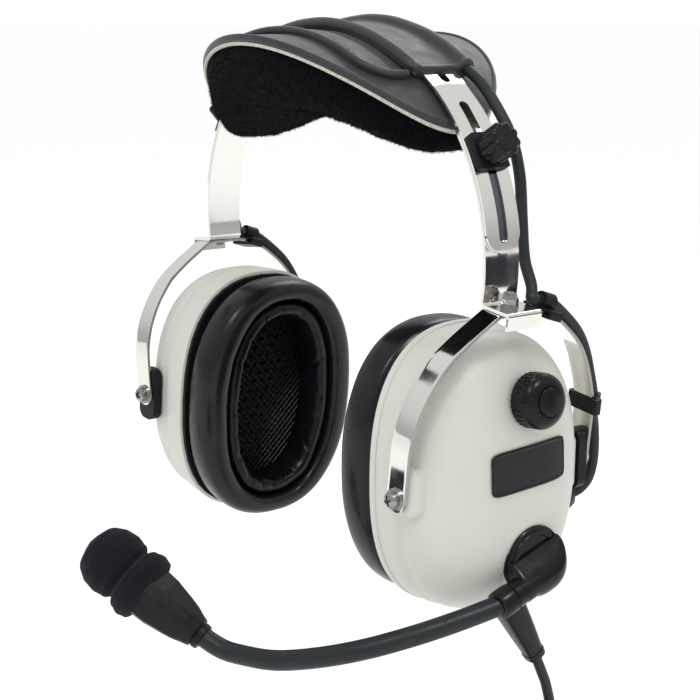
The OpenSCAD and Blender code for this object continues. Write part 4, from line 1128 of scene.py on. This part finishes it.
HOUSING = Vector((36, -91.6, -187.4))
HOUSING_WAY = Vector((-22, -12.5, 16)).normalized()
HOUSING_L, CASE_L, BOOM_R = 25, 27.5, 3.75
HOUSING_FRAME = (
    METRES
    @ Matrix.Translation(HOUSING)
    @ turned("Z", math.degrees(math.atan2(HOUSING_WAY.y, HOUSING_WAY.x)))
    @ turned("Y", -math.degrees(math.asin(HOUSING_WAY.z)))
)


def boom_tube():
    """The gooseneck, from inside the collar to inside the housing."""
    route = [
        (107.2, -31, -171.6), (101.5, -47, -175.2), (92, -60.5, -179.9), (79, -71, -184.9),
        (64, -78.5, -189.4), (51, -84, -190.7), (42, -88, -190.1),
    ]
    route = [Vector(p) * MM for p in route] + [(HOUSING + 4 * HOUSING_WAY) * MM]
    path = [at_boom(SEAM - 3), at_boom(SEAM + 2)] + spline_points([at_boom(COLLAR_END - 1)] + route, 6)
    boom = tube("boom_sleeve", path, BOOM_R * MM, 8)
    finished(boom, "boom", BOOM, "cable_rubber", "boom_tube")


def mic_housing():
    """Round at the boom, square with cut corners at the windscreen, with a ring between."""
    stations = [
        (0, 4.6, 4.6, 2.0), (0.4, 5.0, 5.0, 2.0), (2.2, 5.1, 5.1, 2.0), (2.4, 4.7, 4.7, 2.0),
        (2.7, 4.7, 4.7, 2.0), (3, 5.7, 5.6, 2.1), (6, 6.2, 6.1, 2.6), (12.5, 7.6, 7.1, 4.5),
        (21, 9.1, 8.3, 7), (CASE_L, 9.3, 8.6, 7),
    ]

    def on_housing(share, t):
        x = share * CASE_L
        w, h, n = row_at(stations, x)
        y, z = oval(w, h, t, n)
        # Cut corners: 2 would leave them whole
        m = (abs(y) / w + abs(z) / h) / 1.62
        if m > 1:
            y, z = y / m, z / m
        return Vector((x, y, z))

    house = shaped_bar("microphone_case", 64, 125, on_housing)
    built(house, HOUSING_FRAME, 28, "boom", BLACK, "black_plastic", "mic_housing")


# Places along the windscreen and its radius there: the neck's ball, the groove, the large ball
FOAM_RINGS = [
    (1, 8.4), (1.3, 10.4), (3, 13), (6.2, 13.8), (9.4, 12.9), (11.9, 10.5), (14.4, 12.3),
    (19, 13.1), (23.6, 12.4), (27.6, 10.2), (30.4, 6.9), (31.8, 2.6),
]
FOAM_L = 31.8


def windscreen():
    """The foam ball with its neck, open pored all over."""

    def radius(x):
        for a, b in zip(FOAM_RINGS, FOAM_RINGS[1:]):
            if x <= b[0]:
                k = (x - a[0]) / (b[0] - a[0])
                return a[1] + (b[1] - a[1]) * (k * k * (3 - 2 * k) if 1.2 < a[0] < 15 else k)
        return FOAM_RINGS[-1][1]

    def on_foam(p):
        share = math.acos(max(-1, min(1, -p.x))) / math.pi
        x = 1 + (FOAM_L - 1) * (share + 0.02 * math.sin(2 * math.pi * share))
        r = radius(x)
        edge = min(1.0, share * 60, (1 - share) * 11)
        r *= math.sqrt(max(0.0, edge))
        t = math.atan2(p.z, p.y)
        q = Vector((HOUSING_L + 0.05 + x, r * math.cos(t), r * math.sin(t)))
        pores = crumple(q, 1.8, 8) * 0.10 + crumple(q, 0.12, 3) * 0.25
        return q + Vector((0, math.cos(t), math.sin(t))) * (pores - 0.1) * edge

    foam = shaped_ball("foam_windscreen", 180, 150, on_foam)
    built(foam, HOUSING_FRAME, None, "boom", FOAM, "pad_fleece", "mic_windscreen")


boom_tube()
mic_housing()
windscreen()

SWIVEL_R, DISC_Z, RIDGE_Y, RIDGE_Z = 12.7, 2.15, -4.8, 5.2
ELBOW_BACK, ELBOW_L, ELBOW_ROUND, ELBOW_EDGE = -12.45, 25.0, 11.9, 0.3
# The frame of the boom's sleeve: X along the boom, Y across it, Z out from the cup
SLEEVE_FRAME = CUP["left"] @ moved(*SWIVEL) @ Matrix(
    [(0, 0, 1, 0), (-cosine(DIP), sine(DIP), 0, 0), (-sine(DIP), -cosine(DIP), 0, 0), (0, 0, 0, 1)]
)


def boom_base():
    """The fixed ring under the swivel, with two low steps."""
    profile = [(-1, 0), (-1, 13), (1.1, 13), (1.5, 12.7), (1.6, 11.6), (2.0, 11.3), (2.0, 0)]
    base = revolved("swivel_ring", profile)
    base.data.transform(moved(*SWIVEL))
    settled(base, CUP["left"], 30, "cup_left", BLACK, "black_plastic", "boom_base")


def elbow_section(along):
    """The raised half's outline across the boom: up its ridge, over its back, down its round side."""
    chord = math.sqrt(max(0.0, (SWIVEL_R - 0.1) ** 2 - along * along))
    inner = -min(-RIDGE_Y, max(chord, HOUSE_R - OFFSET))
    outer = max(chord, OFFSET + HOUSE_R) if along > 0 else chord
    # 1 at the sleeve, and round to 0 at the elbow's back
    rear = max(0.0, 1 - max(0.0, -along / ELBOW_ROUND) ** 2.3) ** 0.5
    top = RIDGE_Z + (HOUSE_X + HOUSE_R - RIDGE_Z) * rear
    to_sleeve = min(1.0, max(0.0, (along - 1) / 8))
    shoulder = DISC_Z + 2.2
    side_z = shoulder + (HOUSE_X - shoulder) * to_sleeve
    crest = inner + (OFFSET - inner) * rear
    wide = outer - crest
    under = DISC_Z + 0.6
    points = [(outer + (inner - outer) * k / 15, under) for k in range(16)]
    edge = ELBOW_EDGE
    points += [(inner, under + (RIDGE_Z - edge - under) * k / 6) for k in range(1, 7)]
    for a in (22, 45, 68, 90):
        points.append((inner + edge * (1 - cosine(a)), RIDGE_Z - edge * (1 - sine(a))))
    for k in range(1, 27):
        y = inner + edge + (crest - inner - edge) * k / 26
        points.append((y, top - (top - RIDGE_Z) * (1 - k / 26) ** 1.7))
    for k in range(1, 37):
        a = 2.5 * k
        points.append((crest + wide * sine(a) ** 0.9, side_z + (top - side_z) * cosine(a) ** 0.9))
    points += [(outer, side_z + (under - side_z) * k / 9) for k in range(1, 9)]
    return points


def boom_swivel():
    """A disc with low rings; its lower half rises to an elbow that ends in the boom's sleeve."""
    rings = [(0, 0), (0, SWIVEL_R), (0.9, SWIVEL_R), (1.25, 12.4), (1.3, 11.3), (1.9, 11.1),
             (2.2, 10.8), (2.25, 9.5), (1.8, 9.2), (1.75, 0)]
    disc = revolved("swivel_elbow", [(DISC_Z + x, r) for x, r in rings], 96)
    disc.data.transform(moved(*SWIVEL))
    smooth(disc, 30)
    placed(disc, CUP["left"])

    def on_elbow(share, t):
        along = ELBOW_BACK + ELBOW_L * share**1.5
        section = elbow_section(along)
        i = round(t / (2 * math.pi) * len(section)) % len(section)
        return Vector((along, *section[i]))

    elbow = shaped_bar("elbow_back", 96, 90, on_elbow)
    end = SEAM - 0.15
    profile = [(6, 0), (6, HOUSE_R), (SEAM - 0.5, HOUSE_R), (end, HOUSE_R - 0.35), (end, 0)]
    sleeve = revolved("elbow_sleeve", profile, 72)
    sleeve.data.transform(moved(0, OFFSET, HOUSE_X))
    for piece in (elbow, sleeve):
        placed(piece, SLEEVE_FRAME)
        outward(piece)
        smooth(piece, 35)
    finished(joined(disc, elbow, sleeve), "boom", GLOSS, "black_plastic", "boom_swivel")


def boom_collar():
    """A split ring round the boom, with a rounded front edge."""
    start, end, bore = SEAM + 0.1, COLLAR_END, 3.72
    ring = revolved("boom_ring", [
        (start, bore), (start, 5), (SEAM + 0.4, 5.3), (end - 1, 5.35), (end - 0.3, 5.1), (end, 4.5),
        (end, bore), (start, bore),
    ], 72)
    ring.data.transform(moved(0, OFFSET, HOUSE_X))
    placed(ring, SLEEVE_FRAME)
    outward(ring)
    smooth(ring, 35)
    finished(ring, "boom", GLOSS, "gloss_black", "boom_collar")


def cord_relief():
    """The tapered boot under the cup: flat sided with round corners, and a lip round the lead."""
    aside = RELIEF_WAY.cross(Vector((1, 0, 0)))
    stations = [(-8, 5.2, 5.2, 3.5), (2, 5.3, 5.5, 3.6), (14, 4.5, 4.7, 3.4), (25.2, 3.6, 3.8, 3),
                (25.6, 3.9, 4.1, 3), (28.4, 3.7, 3.9, 3), (29, 3.2, 3.4, 2.6)]

    def on_relief(share, t):
        x = stations[0][0] + (stations[-1][0] - stations[0][0]) * share
        w, h, n = row_at(stations, x)
        return Vector((x, *oval(w, h, t, n)))

    relief = shaped_bar("relief_boot", 64, 148, on_relief)
    frame_matrix = Matrix((RELIEF_WAY, Vector((1, 0, 0)), aside)).transposed().to_4x4()
    placed(relief, METRES @ Matrix.Translation(RELIEF_TOP) @ frame_matrix)
    outward(relief)
    smooth(relief, 32)
    finished(relief, "cup_left", GLOSS, "cable_rubber", "strain_relief")


LABEL_Y, LABEL_Z, LABEL_W, LABEL_H, LABEL_T, LABEL_TURN = 3.2, 6.0, 36.5, 16.5, 0.9, 3.0
# The power of the outline: higher is squarer
LABEL_CORNER = 9


def label_plate():
    """The bare plate, bent to the dome, with a fine raised frame."""

    def on_label(u, v):
        a, b, n = LABEL_W / 2, LABEL_H / 2, LABEL_CORNER
        stretch = (abs(u) ** n + abs(v) ** n) ** (-1 / n) * max(abs(u), abs(v)) if u or v else 1
        y, z = u * a * stretch, v * b * stretch
        turn, lift = cosine(LABEL_TURN), sine(LABEL_TURN)
        y, z = y * turn - z * lift, y * lift + z * turn
        from_edge = min((1 - abs(u)) * a, (1 - abs(v)) * b)
        frame_high = 0.28 * bell(from_edge - 0.8, 0.26) - 0.3 * max(0, 1 - from_edge / 0.3)
        y, z = y + LABEL_Y, z + LABEL_Z
        return Vector((dome_x(y, z) + LABEL_T + frame_high, y, z + CUP_RISE))

    plate = shaped_grid("bare_label", 180, 90, on_label)
    modified(plate, "SOLIDIFY", thickness=0.8, offset=-1)
    built(plate, CUP["left"], 40, "cup_left", LABEL, "label_grey", "label_plate")


def pivot_screw(side, s):
    """A pan head with a cross recess, on a washer."""
    head = [(0, 0), (0, 4.1), (0.8, 4.1), (0.85, 3.3), (1.5, 3.3), (1.55, 3.0), (2.6, 2.9),
            (3.2, 2.3), (3.5, 1.3), (3.6, 0)]
    screw = revolved("pivot_head", head, 48)
    for turn in (20, 110):
        bar = block("recess", (3.0, 3.9, 1.0), (3.4, 0, 0), 0.1, 1)
        bar.data.transform(turned("X", turn))
        modified(screw, "BOOLEAN", operation="DIFFERENCE", object=bar, solver="EXACT")
        bpy.data.objects.remove(bar, do_unlink=True)
    smooth(screw, 30)
    screw.data.transform(moved(0, s * (SPAN + 0.1), 0) @ turned("Z", s * 90))
    return screw


def pivot_heads():
    """Both screws of each cup."""
    for side in SIDES:
        pair = joined(pivot_screw(side, 1), pivot_screw(side, -1))
        pair.name = "pivot_heads_" + side
        placed(pair, CUP[side])
        finished(pair, "cup_" + side, SCREW, "bright_screws")
        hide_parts("pivot_screws_" + side)


def fluted(obj, count, start, end, depth, wide, fade):
    """Cuts flutes along a revolved piece that lies along X, between two places on it."""
    for v in obj.data.vertices:
        r = math.hypot(v.co.y, v.co.z)
        if r < 0.1:
            continue
        t = math.atan2(v.co.z, v.co.y) * count / (2 * math.pi)
        off = abs(t - round(t)) * 2 * math.pi * r / count
        in_reach = min(1.0, max(0.0, (v.co.x - start) / fade), max(0.0, (end - v.co.x) / fade))
        cut = depth * bell(off, wide) * in_reach
        v.co.y *= 1 - cut / r
        v.co.z *= 1 - cut / r


# The middle of the volume knob on the dome
KNOB_Y, KNOB_Z = 3.6, 30.5


def volume_knob():
    """Fluted skirt, round shoulder, and a flat cap in a fine groove."""
    shoulder = [(5.4 + 4.3 * sine(a), 5.6 + 4.6 * cosine(a)) for a in range(5, 90, 6)]
    skirt = [(0.2 + 0.4 * k, 10.2) for k in range(13)]
    knob = revolved("volume_dial", [(0, 0), (0, 9.9)] + skirt + shoulder + [
        (9.72, 5.7), (9.35, 5.55), (9.35, 5.35), (10.1, 5.3), (10.5, 5.1), (10.6, 4.8), (10.6, 0),
    ], 300)
    fluted(knob, 30, -0.5, 6.2, 0.5, 0.42, 1.4)
    seat = CUP["left"] @ moved(dome_x(KNOB_Y, KNOB_Z), KNOB_Y, CUP_RISE + KNOB_Z)
    place = seat @ turned("Y", -7) @ moved(1.1, 0, 0)
    settled(knob, place, 38, "volume_knob", GLOSS, "gloss_black", "volume_knob")


# The clamp's angle from vertical round the band
CLAMP_A = 59


def clamp_knob(side):
    """Eight deep flutes under a flat face with a soft edge."""
    s = 1 if side == "left" else -1
    grip = [(1.4 + 0.5 * k, 6.45) for k in range(16)]
    knob = revolved("clamp_grip_" + side, [(0, 0), (0, 5.2), (1.3, 5.2)] + grip + [
        (9.4, 6.2), (9.75, 5.8), (9.9, 5.3), (9.85, 4.4), (9.8, 0),
    ], 192)
    fluted(knob, 8, 1.0, 12, 1.05, 1.25, 0.5)
    outwards = (turned("Z", 180) if s < 0 else Matrix.Identity(4)) @ turned("Y", CLAMP_A - 90)
    lift = band_point(s, CLAMP_A, 2.7, 0)
    node = "clamp_knob_" + side
    settled(knob, Matrix.Translation(lift) @ outwards @ METRES, 40, node, GLOSS, "gloss_black", node)


boom_base()
boom_swivel()
boom_collar()
cord_relief()
label_plate()
pivot_heads()
volume_knob()
for side in SIDES:
    clamp_knob(side)

# ---- small pieces


def grille_mesh(side):
    """The woven mesh in front of the ear plate, seen through the seal."""
    nothing_selected()
    bpy.ops.mesh.primitive_grid_add(x_subdivisions=42, y_subdivisions=42, size=92)
    woven = named("grille_mesh_" + side)
    woven.data.transform(turned("Y", 90) @ turned("Z", 45))
    mesh = edit(woven)
    a, b = OPEN_A - 2.2, OPEN_B - 2.2
    outside = [v for v in mesh.verts if (abs(v.co.y) / a) ** SEAL_N + (abs(v.co.z) / b) ** SEAL_N > 1]
    bmesh.ops.delete(mesh, geom=outside, context="VERTS")
    for v in mesh.verts:
        v.co.x = SEAL_X - 0.55
        v.co.z += CUP_RISE
    edited(woven)
    modified(woven, "WIREFRAME", thickness=0.9, use_even_offset=False)
    settled(woven, CUP[side], 60, "cup_" + side, GLOSS, "black_plastic")


def plug():
    """A bell-shaped boot and grip, and a turned metal barrel with its tip."""
    top = coil_centre + Vector((-7, 40.3, -23))
    grip = [(0, 0), (0, 2.6), (1, 3.1), (6, 3.3), (13.2, 3.8), (14.4, 4.8), (15.2, 6.2), (16.2, 6.4)]
    for k in range(8):
        grip += [(17 + 2 * k, 6.4), (17.5 + 2 * k, 6.1), (18.3 + 2 * k, 6.1), (18.8 + 2 * k, 6.4)]
    grip += [(36.5, 6.4), (39, 5.8), (40.6, 5.2), (41, 5.2), (41, 0)]
    barrel = [(40.8, 0), (40.8, 3.5), (46, 3.55), (46.1, 3.2), (47, 3.2), (47.1, 3.55), (63, 3.55),
              (64, 3.5), (65.6, 2.7), (67.2, 2.6), (68.3, 3.3), (69, 3.2), (71, 1.5), (71.5, 0)]
    down = METRES @ Matrix.Translation(top) @ turned("Y", 90)
    pieces = []
    for name, profile, material, slot in (
        ("plug_grip", grip, BLACK, "black_plastic"), ("plug_barrel", barrel, SCREW, "plug_metal"),
    ):
        piece = revolved(name, profile)
        pieces.append(settled(piece, down, 30, "cup_left", material, slot))
    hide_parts("cord_plug")
    return pieces


def coil_tie():
    """A soft strap round the coil's turns, with its tail."""
    at = coil_centre + Vector((0, -25, 0))

    def on_tie(t, q):
        r = 9.3 + 0.5 * math.cos(q) + 0.3 * math.sin(3 * t)
        return at + Vector((r * math.cos(t), r * math.sin(t), 4.5 * power(math.sin(q), 0.5)))

    tie = shaped_torus("coil_tie", 96, 16, on_tie)
    return built(tie, METRES, 50, "cup_left", BLACK, "black_plastic")


for side in SIDES:
    grille_mesh(side)
plug_pieces = plug()
tie = coil_tie()

# ---- floor and light


def cards():
    """Dark cards beside the set, seen only as reflections in the bright metal."""
    black = Finish("card_black", (0.01, 0.012, 0.02), 0.9).material
    places = {
        "card_arm": ((0.30, 0.18, -0.105), (0.0, -0.1, -0.07), 0.07, 0.09),
        "card_strip": ((-0.425, -0.472, -0.354), None, 0.13, 0.13),
        "card_high": ((-0.50, -0.31, 0.38), (0.097, -0.036, -0.079), 0.30, 0.09),
    }
    for name, (at, aim, wide, high) in places.items():
        nothing_selected()
        bpy.ops.mesh.primitive_plane_add(size=1)
        card = named(name)
        turn = (Vector(aim) - Vector(at)).to_track_quat("Z", "Y").to_matrix().to_4x4() if aim else Matrix()
        card.data.transform(Matrix.Translation(at) @ turn @ Matrix.Diagonal((wide, high, 1, 1)))
        card.data.materials.append(black)
        card.visible_camera = card.visible_diffuse = card.visible_shadow = False


def sky():
    """White to the eye; for reflections bright above and dimmer along the horizon."""
    world = bpy.data.worlds.new("studio")
    world.use_nodes = True
    f = Nodes(world.node_tree)
    ramp, rays = f.node("ShaderNodeValToRGB"), f.node("ShaderNodeLightPath")
    place = f.node("ShaderNodeTexCoord")
    f.link(f.split(place.outputs["Generated"])["Z"], ramp.inputs["Fac"])
    band = ramp.color_ramp
    for element, level in zip(band.elements, (0.62, 1.1)):
        element.color = (level, level, level, 1)
    for position, level in ((0.10, 0.70), (0.24, 0.95), (0.45, 1.06)):
        band.elements.new(position).color = (level, level, level, 1)
    # Reflections see a studio a little dimmer than the light that it gives
    dimmed = f.node("ShaderNodeVectorMath", operation="SCALE")
    f.link(ramp.outputs["Color"], dimmed.inputs[0])
    f.link(f.maths("MULTIPLY_ADD", rays.outputs["Is Glossy Ray"], -0.28, 1.0), dimmed.inputs["Scale"])
    mix = f.node("ShaderNodeMix", data_type="RGBA")
    f.link(rays.outputs["Is Camera Ray"], mix.inputs["Factor"])
    f.link(dimmed.outputs[0], mix.inputs["A"])
    f.set(mix, "B", (1.1, 1.1, 1.1, 1))
    f.link(mix.outputs["Result"], f.tree.nodes["Background"].inputs["Color"])
    bpy.context.scene.world = world


def lamp(name, at, target, size, power_w):
    data = bpy.data.lights.new(name, "AREA")
    data.shape = "SQUARE"
    data.size = size
    data.energy = power_w
    obj = bpy.data.objects.new(name, data)
    bpy.context.scene.collection.objects.link(obj)
    aim = (Vector(target) - Vector(at)).to_track_quat("-Z", "Y")
    obj.matrix_world = Matrix.Translation(at) @ aim.to_matrix().to_4x4()
    return obj


# Just under the plug's tip
FLOOR_Z = -0.3575


def studio():
    """A plain pale floor, three lamps, and what the metal reflects."""
    nothing_selected()
    bpy.ops.mesh.primitive_plane_add(size=30, location=(0, 0, FLOOR_Z))
    floor = named("floor")
    paint = Finish("floor_paint", (0.95, 0.95, 0.95), 0.8, Specular_IOR_Level=0.1).material
    floor.data.materials.append(paint)
    bpy.context.scene.view_settings.view_transform = "Standard"
    sky()
    cards()
    lamp("key_light", (0.55, -0.95, 1.15), (0, 0, -0.1), 0.32, 5)
    lamp("rear_light", (-0.5, 0.9, 0.9), (0, 0, -0.1), 0.6, 4)
    # Seen only as the highlight on glossy surfaces
    gloss_box = lamp("gloss_box", (0.95, 0.03, 1.2), (0.1, 0, -0.15), 0.34, 8)
    gloss_box.visible_diffuse = False


studio()
